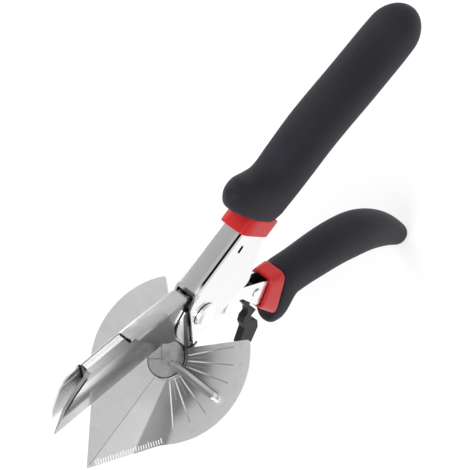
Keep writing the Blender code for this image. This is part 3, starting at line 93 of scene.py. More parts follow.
GAP = 0.3 * MM
DUST = 0.004 * MM  # points of a solid nearer than this are one
PLATE_TOP = -1.8 * MM
WEB_ABOVE_PLATE = 21.0 * MM
PIVOT = np.array((20.8, 0.0, 5.6)) * MM
HANDLE_ANGLE = math.radians(59.0)
HANDLE_LINE = np.array((math.cos(HANDLE_ANGLE), 0.0, -math.sin(HANDLE_ANGLE)))
HANDLE_FRONT = np.array((-math.sin(HANDLE_ANGLE), 0.0, -math.cos(HANDLE_ANGLE)))
JAW_ANGLE = math.radians(28.0)
JAW_LINE = np.array((-math.cos(JAW_ANGLE), 0.0, math.sin(JAW_ANGLE)))
JAW_RISE = np.array((math.sin(JAW_ANGLE), 0.0, math.cos(JAW_ANGLE)))
SLEEVE_WALL = 1.6 * MM
OVAL, BOXY, SQUARE = 2.3, 5.0, 14.0  # exponents of superellipses
GRIP_COLUMNS, COLLAR_COLUMNS = 112, 128


class TurningAxis(Enum):
    """Where a turned piece's profile points: its two directions across and the one along."""

    UP = ((1.0, 0.0, 0.0), (0.0, 1.0, 0.0), (0.0, 0.0, 1.0))
    NEAR = ((1.0, 0.0, 0.0), (0.0, 0.0, 1.0), (0.0, -1.0, 0.0))


class GrainDirection(Enum):
    """The turn, in radians, that lays a brushed grain along a piece."""

    LEVER = (0.0, 0.0, 0.0)
    JAW = (0.0, -JAW_ANGLE, 0.0)
    ACROSS = (0.0, 0.0, math.pi / 2)
    UPRIGHT = (0.0, math.pi / 2, 0.0)


# Surfaces worked out with numpy

def link(name: str, mesh: Mesh) -> Object:
    """Put a mesh into the scene as an object at the origin.

    Args:
        name: the object's name.
        mesh: its mesh or curve.

    Returns:
        The object.
    """
    item = bpy.data.objects.new(name, mesh)
    bpy.context.scene.collection.objects.link(item)
    return item


def grid_quads(rows: int, columns: int, loop: bool) -> np.ndarray:
    """Corners of the quads of a grid whose columns close on themselves.

    Args:
        rows: number of rings.
        columns: points in each ring.
        loop: whether the last ring joins the first one.

    Returns:
        One row of four point numbers for each quad.
    """
    row = np.arange(rows if loop else rows - 1)[:, None]
    column = np.arange(columns)[None, :]
    below, beside = (row + 1) % rows, (column + 1) % columns
    quads = np.stack([row * columns + column, row * columns + beside,
                      below * columns + beside, below * columns + column], axis=-1)
    return quads.reshape(-1, 4)


def skin(name: str, rings: np.ndarray, loop: bool = False, sharp: float = 40.0) -> Object:
    """A closed skin over rings; each open end closes in a fan round the middle of its ring.

    Args:
        name: the piece's name.
        rings: points as rings x columns x 3.
        loop: whether the last ring joins the first, as on a tube bent into a circle.
        sharp: edges over this angle in degrees stay crisp.

    Returns:
        The new object.
    """
    rows, columns, _ = rings.shape
    points = rings.reshape(-1, 3)
    faces = grid_quads(rows, columns, loop).tolist()
    if not loop:
        points = np.vstack([points, rings[0].mean(axis=0), rings[-1].mean(axis=0)])
        here = np.arange(columns)
        beside = (here + 1) % columns
        last = (rows - 1) * columns
        first_fan = np.stack([np.full(columns, rows * columns), beside, here], axis=-1)
        last_fan = np.stack([np.full(columns, rows * columns + 1), last + here, last + beside],
                            axis=-1)
        faces += first_fan.tolist() + last_fan.tolist()
    mesh = bpy.data.meshes.new(name)
    mesh.from_pydata(points.tolist(), [], faces)
    bm = bmesh.new()
    bm.from_mesh(mesh)
    bmesh.ops.recalc_face_normals(bm, faces=bm.faces)
    return shaded(name, mesh, bm, sharp)


def shaded(name: str, mesh: Mesh, bm: bmesh.types.BMesh, sharp: float) -> Object:
    """Write an edited mesh back, shade it smooth with crisp edges and put it into the scene.

    Args:
        name: the object's name.
        mesh: the mesh that is written.
        bm: its edited faces, which are freed.
        sharp: edges over this angle in degrees stay crisp.

    Returns:
        The new object.
    """
    bm.to_mesh(mesh)
    bm.free()
    mesh.shade_smooth()
    mesh.set_sharp_from_angle(angle=math.radians(sharp))
    return link(name, mesh)


def rounded_path(corners: list[Triple], steps: int = 5) -> np.ndarray:
    """A closed path whose corners are arcs that touch both of their sides.

    The arc's centre lies on the corner's bisector, and its reach along a side is the radius over the
    tangent of half the corner, at most 0.45 of the shorter side.

    Args:
        corners: (across, up, radius) for each corner, in order.
        steps: pieces in each arc.

    Returns:
        The path's points as an n x 2 array.
    """
    table = np.asarray(corners, dtype=float)
    here, radius = table[:, :2], table[:, 2]
    before, after = np.roll(here, 1, axis=0) - here, np.roll(here, -1, axis=0) - here
    before_length, after_length = np.linalg.norm(before, axis=1), np.linalg.norm(after, axis=1)
    before, after = before / before_length[:, None], after / after_length[:, None]
    half = np.arccos(np.clip((before * after).sum(axis=1), -0.9999, 1.0)) / 2
    reach = np.minimum(radius / np.tan(half), 0.45 * np.minimum(before_length, after_length))
    real = reach * np.tan(half)
    middle = before + after
    middle /= np.maximum(np.linalg.norm(middle, axis=1), 1e-9)[:, None]
    centre = here + middle * (real / np.sin(half))[:, None]
    first, last = here + before * reach[:, None] - centre, here + after * reach[:, None] - centre
    start = np.arctan2(first[:, 1], first[:, 0])
    sweep = np.arctan2(first[:, 0] * last[:, 1] - first[:, 1] * last[:, 0], (first * last).sum(axis=1))
    angle = start[:, None] + sweep[:, None] * np.linspace(0.0, 1.0, steps + 1)
    arcs = centre[:, None, :] + real[:, None, None] * np.stack([np.cos(angle), np.sin(angle)], axis=-1)
    path = arcs.reshape(-1, 2)
    apart = np.linalg.norm(path - np.roll(path, 1, axis=0), axis=1) > 1e-7
    return path[apart]


def turned(name: str, profile: np.ndarray, centre: np.ndarray, axis: TurningAxis, steps: int = 72,
           sharp: float = 40.0) -> Object:
    """A turned piece: each profile point (radius, height) goes round the axis in a full circle.

    Args:
        name: the piece's name.
        profile: n x 2 array. If it starts and ends on the axis, the piece is solid, and otherwise it
            is a ring whose profile is a closed path.
        centre: the point on the axis at height 0.
        axis: the direction of the height.
        steps: points round the axis.
        sharp: edges over this angle in degrees stay crisp.

    Returns:
        The new object.
    """
    solid = profile[0, 0] < 1e-9
    rows = profile[1:-1] if solid else profile
    angle = np.linspace(0.0, 2 * math.pi, steps, endpoint=False)
    radius, height = rows[:, 0][:, None], rows[:, 1][:, None]
    rings = np.stack([radius * np.cos(angle), radius * np.sin(angle), height + 0 * angle], axis=-1)
    return skin(name, rings @ np.array(axis.value) + centre, loop=not solid, sharp=sharp)


def bush_profile(inner: float, outer: float, low: float, high: float, edge: float) -> np.ndarray:
    """The closed profile of a plain ring with softened edges."""
    corners = ((inner, low), (outer, low), (outer, high), (inner, high))
    return rounded_path([(*corner, edge) for corner in corners])


def dome_profile(radius: float, base: float, rim: float, crown: float, count: int = 14,
                 fullness: float = 2.4) -> np.ndarray:
    """Half of a domed head from the axis to its base.

    The height falls from the crown to the rim as a superellipse of the distance from the axis, and the
    rim drops straight to the base.

    Args:
        radius: the head's radius.
        base: height of its underside.
        rim: height of its rim's top.
        crown: height of its middle.
        count: points on the dome.
        fullness: the superellipse's exponent.

    Returns:
        The profile as an n x 2 array.
    """
    turn = np.linspace(0.0, math.pi / 2, count)
    across = radius * np.sin(turn) ** (2 / fullness)
    height = rim + (crown - rim) * np.cos(turn) ** (2 / fullness)
    return np.vstack([np.stack([across, height], axis=-1), [(radius, base)]])


def oval_rings(centres: np.ndarray, ups: np.ndarray, sizes: np.ndarray, squareness: float,
               columns: int) -> np.ndarray:
    """Superellipse rings, one for each centre.

    A point stands off its centre by the half-width times the cosine along Y, and by the rise or the drop
    times the sine along the ring's up, each raised to 2 over the squareness.

    Args:
        centres: n x 3 ring centres.
        ups: n x 3 directions of the rise.
        sizes: n x 3 half-widths, rises and drops.
        squareness: the superellipse's exponent.
        columns: points in a ring.

    Returns:
        The rings as n x columns x 3.
    """
    angle = np.linspace(0.0, 2 * math.pi, columns, endpoint=False)
    across = np.sign(np.cos(angle)) * np.abs(np.cos(angle)) ** (2 / squareness)
    high = np.sign(np.sin(angle)) * np.abs(np.sin(angle)) ** (2 / squareness)
    reach = np.where(high > 0, sizes[:, 1][:, None], sizes[:, 2][:, None]) * high
    side = sizes[:, 0][:, None] * across
    return (centres[:, None, :] + reach[..., None] * ups[:, None, :]
            + side[..., None] * np.array((0.0, 1.0, 0.0)))


def smooth_rows(table: tuple[tuple[float, ...], ...], share: np.ndarray) -> np.ndarray:
    """Values read from rows of (share, value, ...) on a cubic that passes through every row.

    Its slope at a row is the mean of the slopes on both sides, or level where they differ in sign.

    Args:
        table: the rows, in order of their share.
        share: places to read.

    Returns:
        One row of values for each place.
    """
    rows = np.asarray(table)
    step = np.diff(rows[:, 0])[:, None]
    rise = np.diff(rows[:, 1:], axis=0) / step
    inner = np.where(rise[:-1] * rise[1:] > 0, (rise[:-1] + rise[1:]) / 2, 0.0)
    slope = np.vstack([rise[:1], inner, rise[-1:]])
    place = np.clip(np.searchsorted(rows[:, 0], share, side="left") - 1, 0, len(rows) - 2)
    t = np.clip((share - rows[place, 0]) / step[place, 0], 0.0, 1.0)[:, None]
    low, high, wide = rows[place, 1:], rows[place + 1, 1:], step[place]
    return ((2 * t ** 3 - 3 * t ** 2 + 1) * low + (t ** 3 - 2 * t ** 2 + t) * wide * slope[place]
            + (3 * t ** 2 - 2 * t ** 3) * high + (t ** 3 - t ** 2) * wide * slope[place + 1])


def tube(name: str, path: np.ndarray, radius: float, columns: int = 14) -> Object:
    """A round wire: each ring stands square to the path's tangent, on its cross product with the Y axis.

    Args:
        name: the piece's name.
        path: the wire's middle line, n x 3.
        radius: half the wire's thickness.
        columns: points in a ring.

    Returns:
        The new object.
    """
    tangent = np.gradient(path, axis=0)
    tangent /= np.linalg.norm(tangent, axis=1)[:, None]
    side = np.cross(tangent, np.array((0.0, 1.0, 0.0)))
    side /= np.linalg.norm(side, axis=1)[:, None]
    up = np.cross(side, tangent)
    angle = np.linspace(0.0, 2 * math.pi, columns, endpoint=False)[None, :, None]
    ring = np.cos(angle) * side[:, None, :] + np.sin(angle) * up[:, None, :]
    return skin(name, path[:, None, :] + radius * ring, sharp=60.0)


def sleeve(name: str, outer: np.ndarray, inner: np.ndarray, rim: float, length: float) -> Object:
    """A sleeve between an outer and an inner pair of rings.

    Its section is a rounded rectangle of (share along, share inwards): each point lies between the outer
    rings by the first share, and is then moved towards the inner rings by the second one.

    Args:
        name: the piece's name.
        outer: front and rear outer ring, 2 x columns x 3.
        inner: front and rear inner ring.
        rim: radius of the softened rims.
        length: the sleeve's length, which gives the rim its share along.

    Returns:
        The new object.
    """
    turn = np.linspace(0.0, math.pi / 2, 6)
    a, b = rim / length, rim / SLEEVE_WALL
    front = np.stack([a * (1 - np.sin(turn)), b * (1 - np.cos(turn))], axis=-1)[::-1]
    rear = np.stack([1 - a * (1 - np.cos(turn)), b * (1 - np.sin(turn))], axis=-1)[::-1]
    flat = np.stack([np.linspace(a, 1 - a, 9)[1:-1], np.zeros(7)], axis=-1)
    back = np.array([(1.0, 0.6), (1.0, 1.0), (0.5, 1.0), (0.0, 1.0), (0.0, 0.6)])
    section = np.vstack([front, flat, rear, back])
    along, inward = section[:, 0][:, None, None], section[:, 1][:, None, None]
    outside = outer[0] + (outer[1] - outer[0]) * along
    inside = inner[0] + (inner[1] - inner[0]) * along
    return skin(name, outside + (inside - outside) * inward, loop=True, sharp=50.0)


def read_points(mesh: Mesh) -> np.ndarray:
    """A mesh's points.

    Args:
        mesh: the mesh.

    Returns:
        The points as an n x 3 array.
    """
    points = np.empty(len(mesh.vertices) * 3, dtype=np.float32)
    mesh.vertices.foreach_get("co", points)
    return points.reshape(-1, 3)


def write_points(mesh: Mesh, points: np.ndarray) -> None:
    """Put a mesh's points at new places."""
    mesh.vertices.foreach_set("co", points.ravel())
    mesh.update()


def merged_copy(node: str, name: str, edge: float = 0.0, sharp: float = 32.0) -> Object:
    """A copy of a rigid solid with its triangles joined and its edges slightly rounded.

    Args:
        node: the solid's name.
        name: the new piece's name.
        edge: width of the rounded edges, 0 for none.
        sharp: edges over this angle in degrees are rounded and stay crisp.

    Returns:
        The new object.
    """
    source = frame["nodes"][node].data
    corners = np.empty(len(source.loops), dtype=np.int32)
    source.loops.foreach_get("vertex_index", corners)
    mesh = bpy.data.meshes.new(name)
    mesh.from_pydata(read_points(source).tolist(), [], corners.reshape(-1, 3).tolist())
    bm = bmesh.new()
    bm.from_mesh(mesh)
    bmesh.ops.remove_doubles(bm, verts=bm.verts, dist=DUST)
    bmesh.ops.dissolve_limit(bm, angle_limit=math.radians(1.0), verts=bm.verts, edges=bm.edges)
    bmesh.ops.recalc_face_normals(bm, faces=bm.faces)
    item = shaded(name, mesh, bm, sharp)
    if edge > 0.0:
        bevel = item.modifiers.new("edges", "BEVEL")
        bevel.width, bevel.segments = edge, 2
        bevel.limit_method, bevel.angle_limit = "ANGLE", math.radians(sharp)
        bevel.use_clamp_overlap = bevel.harden_normals = True
    return item


def widen(piece: Object, near: float, far: float) -> None:
    """Spread a block across: its places along Y are stretched evenly to two new ends.

    Args:
        piece: the block.
        near: where its lowest Y goes.
        far: where its highest Y goes.
    """
    points = read_points(piece.data)
    low, high = points[:, 1].min(), points[:, 1].max()
    points[:, 1] = near + (points[:, 1] - low) * (far - near) / (high - low)
    write_points(piece.data, points)


def fit_piece(piece: Object, node: str, material: Material) -> None:
    """Dress a piece, let it ride on a solid's body and stand for that solid.

    Args:
        piece: the piece.
        node: the solid's name.
        material: the piece's material.
    """
    piece.data.materials.clear()
    piece.data.materials.append(material)
    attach(piece, frame["nodes"][node]["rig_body"])
    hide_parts(node)
    LOG.info("piece %s stands for %s", piece.name, node)


# Shaders

class Signal:
    """A node's output. Arithmetic with it adds the node that works out the result."""

    def __init__(self, wiring: "Wiring", socket: NodeSocket) -> None:
        """Keep the wiring that adds nodes, and the output."""
        self.wiring, self.socket = wiring, socket

    def __add__(self, other: "Value") -> "Signal":
        """The sum."""
        return self.wiring.math("ADD", self, other)

    def __sub__(self, other: "Value") -> "Signal":
        """The difference."""
        return self.wiring.math("SUBTRACT", self, other)

    def __mul__(self, other: "Value") -> "Signal":
        """The product."""
        return self.wiring.math("MULTIPLY", self, other)

    def __truediv__(self, other: "Value") -> "Signal":
        """The quotient."""
        return self.wiring.math("DIVIDE", self, other)

    def __lt__(self, other: "Value") -> "Signal":
        """One where this is less, and nothing elsewhere."""
        return self.wiring.math("LESS_THAN", self, other)

    def __gt__(self, other: "Value") -> "Signal":
        """One where this is more, and nothing elsewhere."""
        return self.wiring.math("GREATER_THAN", self, other)

    def __abs__(self) -> "Signal":
        """The size without its sign."""
        return self.wiring.math("ABSOLUTE", self)

    def step_off(self) -> "Signal":
        """The distance to the nearest whole number, with its sign."""
        return self - self.wiring.math("ROUND", self)

    def inside(self, low: float, high: float) -> "Signal":
        """One between two limits."""
        return (self > low) * (self < high)

    def rises(self, low: float, high: float) -> "Signal":
        """A smooth step from nothing below low to one above high."""
        return self.wiring.span(self, low, high)

    def falls(self, low: float, high: float) -> "Signal":
        """A smooth step from one below low to nothing above high."""
        return self.wiring.span(self, low, high, 1.0, 0.0)


Value = Signal | float | Triple


class Wiring:
    """Adds nodes to one node tree and joins their sockets."""

    def __init__(self, tree: NodeTree) -> None:
        """Keep the tree that is wired."""
        self.tree = tree

    def node(self, kind: str, **settings: object) -> Node:
        """A new node.

        Args:
            kind: the node's type.
            settings: its settings by name.

        Returns:
            The node.
        """
        item = self.tree.nodes.new(kind)
        for key, value in settings.items():
            setattr(item, key, value)
        return item

    def feed(self, socket: NodeSocket, value: Value) -> None:
        """Join an input to a signal, or set its number or colour.

        Args:
            socket: the input.
            value: what it gets.
        """
        if isinstance(value, Signal):
            self.tree.links.new(value.socket, socket)
        elif isinstance(value, tuple) and socket.type == "RGBA":
            socket.default_value = (*value, 1.0)
        else:
            socket.default_value = value

    def fed(self, kind: str, values: dict | tuple, **settings: object) -> Node:
        """A new node whose inputs are fed.

        Args:
            kind: the node's type.
            values: what the inputs get, in their order or by their place or name.
            settings: the node's settings by name.

        Returns:
            The node.
        """
        item = self.node(kind, **settings)
        for key, value in values.items() if isinstance(values, dict) else enumerate(values):
            self.feed(item.inputs[key], value)
        return item

    def result(self, kind: str, values: dict | tuple = (), output: int | str = 0,
               **settings: object) -> Signal:
        """One output of a new node whose inputs are fed.

        Args:
            kind: the node's type.
            values: what the inputs get, in their order or by their place or name.
            output: the output's place or name.
            settings: the node's settings by name.

        Returns:
            The output.
        """
        return Signal(self, self.fed(kind, values, **settings).outputs[output])

    def outputs(self, item: Node) -> dict[str, Signal]:
        """A node's outputs by name."""
        return {socket.name: Signal(self, socket) for socket in item.outputs}

    def math(self, operation: str, *values: Value, clamp: bool = False) -> Signal:
        """The result of one operation on numbers."""
        return self.result("ShaderNodeMath", values, operation=operation, use_clamp=clamp)

    def blend(self, share: Value, low: Value, high: Value) -> Signal:
        """A colour between two."""
        return self.result("ShaderNodeMix", {0: share, 6: low, 7: high}, 2, data_type="RGBA")

    def span(self, value: Signal, low: float, high: float, start: float = 0.0,
             end: float = 1.0) -> Signal:
        """A smooth step of value: start below low, end above high."""
        values = (value, low, high, start, end)
        return self.result("ShaderNodeMapRange", values, interpolation_type="SMOOTHSTEP")

    def ramp(self, value: Signal, stops: tuple[tuple[float, float], ...]) -> Signal:
        """A grey level read from a table, straight between its rows.

        Args:
            value: the place, 0 to 1.
            stops: rows of (place, level).

        Returns:
            The level.
        """
        item = self.fed("ShaderNodeValToRGB", (value,))
        elements = item.color_ramp.elements
        while len(elements) < len(stops):
            elements.new(0.5)
        for element, (place, level) in zip(elements, stops):
            element.position, element.color = place, (level, level, level, 1.0)
        return Signal(self, item.outputs[0])

    def noise(self, vector: Signal, scale: Value, detail: float = 2.0, roughness: float = 0.5) -> Signal:
        """A noise value about one half."""
        values = {"Vector": vector, "Scale": scale, "Detail": detail, "Roughness": roughness}
        return self.result("ShaderNodeTexNoise", values)

    def place(self, turn: Triple = (0.0, 0.0, 0.0)) -> Signal:
        """Object coordinates, turned."""
        spot = self.result("ShaderNodeTexCoord", output="Object")
        return self.result("ShaderNodeMapping", {"Vector": spot, "Rotation": turn})

    def split(self, vector: Signal) -> tuple[Signal, ...]:
        """A vector's three numbers."""
        return tuple(self.outputs(self.fed("ShaderNodeSeparateXYZ", (vector,))).values())

    def effect(self, group: NodeTree, **values: Value) -> dict[str, Signal]:
        """A shared group's outputs.

        Args:
            group: the group.
            values: what its inputs get, by name.

        Returns:
            The outputs by name.
        """
        item = self.node("ShaderNodeGroup", node_tree=group)
        for word, value in values.items():
            self.feed(item.inputs[word], value)
        return self.outputs(item)


class SurfaceEffects:
    """The shared shader groups: brushing, grain and edge wear."""

    def __init__(self) -> None:
        """Build each group once."""
        self.brushing = self.make_brushing()
        self.grain = self.make_grain()
        self.wear = self.make_wear()

    @staticmethod
    def start(name: str, **inputs: float | None) -> tuple[Wiring, dict[str, Signal]]:
        """Start a group.

        Args:
            name: the group's name.
            inputs: each input's number at first, or nothing for a vector.

        Returns:
            The group's wiring, and its inputs by name.
        """
        tree = bpy.data.node_groups.new(name, "ShaderNodeTree")
        for word, number in inputs.items():
            kind = "NodeSocketVector" if number is None else "NodeSocketFloat"
            socket = tree.interface.new_socket(name=word, in_out="INPUT", socket_type=kind)
            if number is not None:
                socket.default_value = number
        wiring = Wiring(tree)
        return wiring, wiring.outputs(wiring.node("NodeGroupInput"))

    @staticmethod
    def close(wiring: Wiring, **outputs: Signal) -> NodeTree:
        """Give a group its outputs.

        Args:
            wiring: the group's wiring.
            outputs: the numbers that come out, by name.

        Returns:
            The group.
        """
        for word in outputs:
            wiring.tree.interface.new_socket(name=word, in_out="OUTPUT", socket_type="NodeSocketFloat")
        wiring.fed("NodeGroupOutput", outputs)
        return wiring.tree

    def make_brushing(self) -> NodeTree:
        """Streaks along the vector's X: noise whose X is divided by the stretch, fine over broad."""
        wiring, inlet = self.start("brushing", Vector=None, Fineness=1500.0, Stretch=30.0)
        x, y, z = wiring.split(inlet["Vector"])
        vector = wiring.result("ShaderNodeCombineXYZ", (x / inlet["Stretch"], y, z))
        fine = wiring.noise(vector, inlet["Fineness"], 3.0, 0.6)
        broad = wiring.noise(vector, inlet["Fineness"] * 0.22)
        return self.close(wiring, Streak=(fine * 0.55 + broad * 0.45).rises(0.32, 0.68), Height=fine)

    def make_grain(self) -> NodeTree:
        """The fine pebbled skin of moulded grips, and a cloudy tone over it."""
        wiring, inlet = self.start("grain", Vector=None, Fineness=3000.0, Cloud=60.0)
        values = {"Vector": inlet["Vector"], "Scale": inlet["Fineness"]}
        pebbles = wiring.result("ShaderNodeTexVoronoi", values, "Distance", feature="SMOOTH_F1")
        height = pebbles * 0.6 + wiring.noise(inlet["Vector"], inlet["Fineness"], 3.0, 0.6) * 0.5
        cloud = wiring.noise(inlet["Vector"], inlet["Cloud"], 3.0)
        tone = height.rises(0.2, 0.8) * 0.4 + cloud.rises(0.3, 0.7) * 0.6
        return self.close(wiring, Height=height, Tone=tone)

    def make_wear(self) -> NodeTree:
        """Worn edges: one less the product of the real and the softened normal, times the gain."""
        wiring, inlet = self.start("edge wear", Radius=0.3 * MM, Gain=4.0)
        soft = wiring.result("ShaderNodeBevel", {"Radius": inlet["Radius"]}, samples=6)
        real = wiring.result("ShaderNodeNewGeometry", output="Normal")
        facing = wiring.result("ShaderNodeVectorMath", (soft, real), "Value", operation="DOT_PRODUCT")
        off = wiring.math("SUBTRACT", 1.0, facing)
        return self.close(wiring, Mask=wiring.math("MULTIPLY", off, inlet["Gain"], clamp=True))


EFFECTS = SurfaceEffects()


class Dressing:
    """A new material: its wiring and its Principled shader, joined to the output."""

    def __init__(self, name: str) -> None:
        """Make the material with one shader.

        Args:
            name: the material's name.
        """
        self.material = bpy.data.materials.new(name)
        self.material.use_nodes = True
        self.material.node_tree.nodes.clear()
        self.wiring = Wiring(self.material.node_tree)
        self.shader = self.wiring.node("ShaderNodeBsdfPrincipled")
        surface = Signal(self.wiring, self.shader.outputs[0])
        self.wiring.fed("ShaderNodeOutputMaterial", {"Surface": surface})

    def feed(self, values: dict[str, Value]) -> None:
        """Feed the shader's inputs, given by name."""
        for word, value in values.items():
            self.wiring.feed(self.shader.inputs[word], value)

    def finish(self, values: dict[str, Value], height: Signal, depth: float,
               strength: float) -> Material:
        """Feed the shader and raise the surface by a height map.

        Args:
            values: what the shader's inputs get, by name.
            height: the height map.
            depth: what a height of one stands for.
            strength: the relief's strength.

        Returns:
            The material.
        """
        self.feed(values)
        bump = {"Strength": strength, "Distance": depth, "Height": height}
        self.wiring.feed(self.shader.inputs["Normal"], self.wiring.result("ShaderNodeBump", bump))
        return self.material


def grey(level: float) -> Triple:
    """A neutral colour of one level."""
    return level, level, level * 1.01


def polar(x: Signal, y: Signal) -> tuple[Signal, Signal]:
    """The angle in degrees from -Y towards -X, and the distance from the anvil's centre."""
    angle = x.wiring.math("DEGREES", x.wiring.math("ARCTAN2", x * -1.0, y * -1.0))
    return angle, x.wiring.math("SQRT", x * x + y * y)


@dataclass(frozen=True)
class Border:
    """A soft border on a piece: one at `full`, nothing at `none`, along a slanted distance.

    The distance is the sum of the object's coordinates, each times a share, and in millimetres.
    """

    shares: Triple
    full: float
    none: float

    def mask(self, axes: tuple[Signal, ...]) -> Signal:
        """The border's mask.

        Args:
            axes: the object's coordinates.

        Returns:
            The mask.
        """
        slant = 0.0
        for axis, share in zip(axes, self.shares):
            if share:
                slant = axis.wiring.math("MULTIPLY_ADD", axis, share, slant)
        if self.none < self.full:
            return slant.rises(self.none * MM, self.full * MM)
        return slant.falls(self.full * MM, self.none * MM)


@dataclass(frozen=True)
class PaintedLightZone:
    """A patch of painted shade or painted highlight on a piece, in another grey: where all of its borders
    hold.
    """

    level: float
    borders: tuple[Border, ...]
    strength: float = 1.0

    def over(self, colour: Signal, axes: tuple[Signal, ...]) -> Signal:
        """The colour with this painted shade or highlight over it.

        Args:
            colour: the colour below.
            axes: the object's coordinates.

        Returns:
            The new colour.
        """
        mask = self.strength
        for border in self.borders:
            mask = border.mask(axes) * mask
        return colour.wiring.blend(mask, colour, grey(self.level))


@dataclass(frozen=True)
class SteelFinish:
    """Bare steel with a brushed grain and brighter worn edges."""

    colour: Triple = (0.93, 0.93, 0.93)
    shade: Triple = (0.84, 0.84, 0.845)
    roughness: float = 0.24
    uneven: float = 0.08
    fineness: float = 1600.0
    stretch: float = 30.0
    direction: GrainDirection = GrainDirection.LEVER
    relief: float = 0.004 * MM
    relief_strength: float = 0.6
    worn: Triple = (0.97, 0.97, 0.97)
    wear_radius: float = 0.22 * MM
    wear_gain: float = 5.0

    def wire(self, wiring: Wiring) -> tuple[Signal, Signal, Signal]:
        """The brushed steel's colour, roughness and height.

        Args:
            wiring: the material's wiring.

        Returns:
            The three signals.
        """
        brushed = wiring.effect(EFFECTS.brushing, Vector=wiring.place(self.direction.value),
                                Fineness=self.fineness, Stretch=self.stretch)
        worn = wiring.effect(EFFECTS.wear, Radius=self.wear_radius, Gain=self.wear_gain)["Mask"]
        colour = wiring.blend(worn, wiring.blend(brushed["Streak"], self.shade, self.colour), self.worn)
        rough = brushed["Streak"] * self.uneven + (self.roughness - self.uneven / 2)
        return colour, rough, brushed["Height"]

    def material(self, name: str, zones: tuple[PaintedLightZone, ...] = ()) -> Material:
        """A new steel material.

        Args:
            name: the material's name.
            zones: patches of painted shade and painted highlight on the steel, the last on top.

        Returns:
            The material.
        """
        dress = Dressing(name)
        colour, rough, height = self.wire(dress.wiring)
        axes = dress.wiring.split(dress.wiring.place()) if zones else ()
        for zone in zones:
            colour = zone.over(colour, axes)
        values = {"Base Color": colour, "Roughness": rough, "Metallic": 1.0}
        return dress.finish(values, height, self.relief, self.relief_strength)


@dataclass(frozen=True)
class MouldedFinish:
    """A moulded part, soft or hard: fine pebbles, a cloudy tone and lighter edges."""

    colour: Triple
    deep: Triple
    edge: Triple
    roughness: float = 0.32
    uneven: float = 0.10
    gloss: float = 0.35
    fineness: float = 1800.0
    cloud: float = 140.0
    relief: float = 0.01 * MM
    relief_strength: float = 0.4
    wear_radius: float = 0.35 * MM
    wear_gain: float = 3.0
    wear_share: float = 0.6

    def material(self, name: str) -> Material:
        """A new material.

        Args:
            name: the material's name.

        Returns:
            The material.
        """
        dress = Dressing(name)
        wiring = dress.wiring
        grain = wiring.effect(EFFECTS.grain, Vector=wiring.place(), Fineness=self.fineness,
                              Cloud=self.cloud)
        worn = wiring.effect(EFFECTS.wear, Radius=self.wear_radius, Gain=self.wear_gain)["Mask"]
        colour = wiring.blend(grain["Tone"], self.deep, self.colour)
        values = {"Base Color": wiring.blend(worn * self.wear_share, colour, self.edge),
                  "Roughness": grain["Tone"] * self.uneven + (self.roughness - self.uneven / 2),
                  "Specular IOR Level": self.gloss}
        return dress.finish(values, grain["Height"], self.relief, self.relief_strength)


@dataclass(frozen=True)
class PlateMarks:
    """The angle plate's engraving: rays for the fence, the line to the point and the ruler's ticks."""

    step: float = 15.0
    fan_half: float = 48.0
    ray_start: float = 7.9 * MM
    ray_end: float = 25.4 * MM
    short_end: float = 15.5 * MM
    width: float = 0.25 * MM
    short_share: float = 0.25
    middle_width: float = 0.24 * MM
    middle_ends: tuple = (-47.0 * MM, -8.0 * MM)
    point_reach: float = 48.6 * MM
    half_angle: float = math.asin(0.95 * 31.2 / 49.0)
    tick_width: float = 0.19 * MM
    tick_pitch: float = 1.0 * MM
    tick_start: float = 0.3 * MM
    tick_length: float = 1.9 * MM
    long_tick: float = 2.3 * MM
    ruler_width: float = 3.2 * MM
    ruler_ends: tuple = (3.5 * MM, 30.5 * MM)

    def near(self, distance: Signal, width: float) -> Signal:
        """One where a distance is under a width, with a soft rim."""
        return abs(distance).falls(width * 0.6, width * 1.4)

    def rays(self, angle: Signal, radius: Signal, shift: float, end: float) -> Signal:
        """Rays at every step of the angle: the nearest ray's angle times the radius is the distance.

        Args:
            angle: the angle in degrees.
            radius: the distance from the centre.
            shift: how far the rays are turned, in degrees.
            end: radius where they end.

        Returns:
            The rays' mask.
        """
        off = ((angle + shift) / self.step).step_off()
        line = self.near(off * math.radians(self.step) * radius, self.width)
        return line * ((abs(angle) < self.fan_half) * radius.inside(self.ray_start, end))

    def ticks(self, x: Signal, y: Signal) -> Signal:
        """Ruler ticks from the distance along the point's edge and the distance in from it.

        Args:
            x: the place along X.
            y: the place along Y.

        Returns:
            The ticks' mask.
        """
        cosine, sine = math.cos(self.half_angle), math.sin(self.half_angle)
        from_tip = x + self.point_reach
        along = from_tip * cosine - y * sine
        inward = from_tip * sine + y * cosine

        def comb(pitch: float, length: float) -> Signal:
            """Ticks of one pitch and length."""
            line = self.near((along / pitch).step_off() * pitch, self.tick_width)
            return line * inward.inside(self.tick_start, length)

        both = x.wiring.math("MAXIMUM", comb(self.tick_pitch, self.tick_length),
                             comb(5 * self.tick_pitch, self.long_tick))
        return both * along.inside(*self.ruler_ends)

    def ruler(self, x: Signal, y: Signal) -> Signal:
        """The strip beside the point's ruled edge, where the marks are bright.

        Args:
            x: the place along X.
            y: the place along Y.

        Returns:
            The strip's mask.
        """
        inward = x * math.sin(self.half_angle) + y * math.cos(self.half_angle)
        edge = self.ruler_width - self.point_reach * math.sin(self.half_angle)
        return (inward < edge) * (y < -2 * self.middle_width)

    def mask(self, x: Signal, y: Signal) -> Signal:
        """Everything that is engraved.

        Args:
            x: the place along X.
            y: the place along Y.

        Returns:
            One mask of it all.
        """
        angle, radius = polar(x, y)
        marks = self.rays(angle, radius, 0.0, self.ray_end)
        for more in (self.rays(angle, radius, self.step / 2, self.short_end) * self.short_share,
                     self.ticks(x, y), self.near(y, self.middle_width) * x.inside(*self.middle_ends)):
            marks = x.wiring.math("MAXIMUM", marks, more)
        return marks


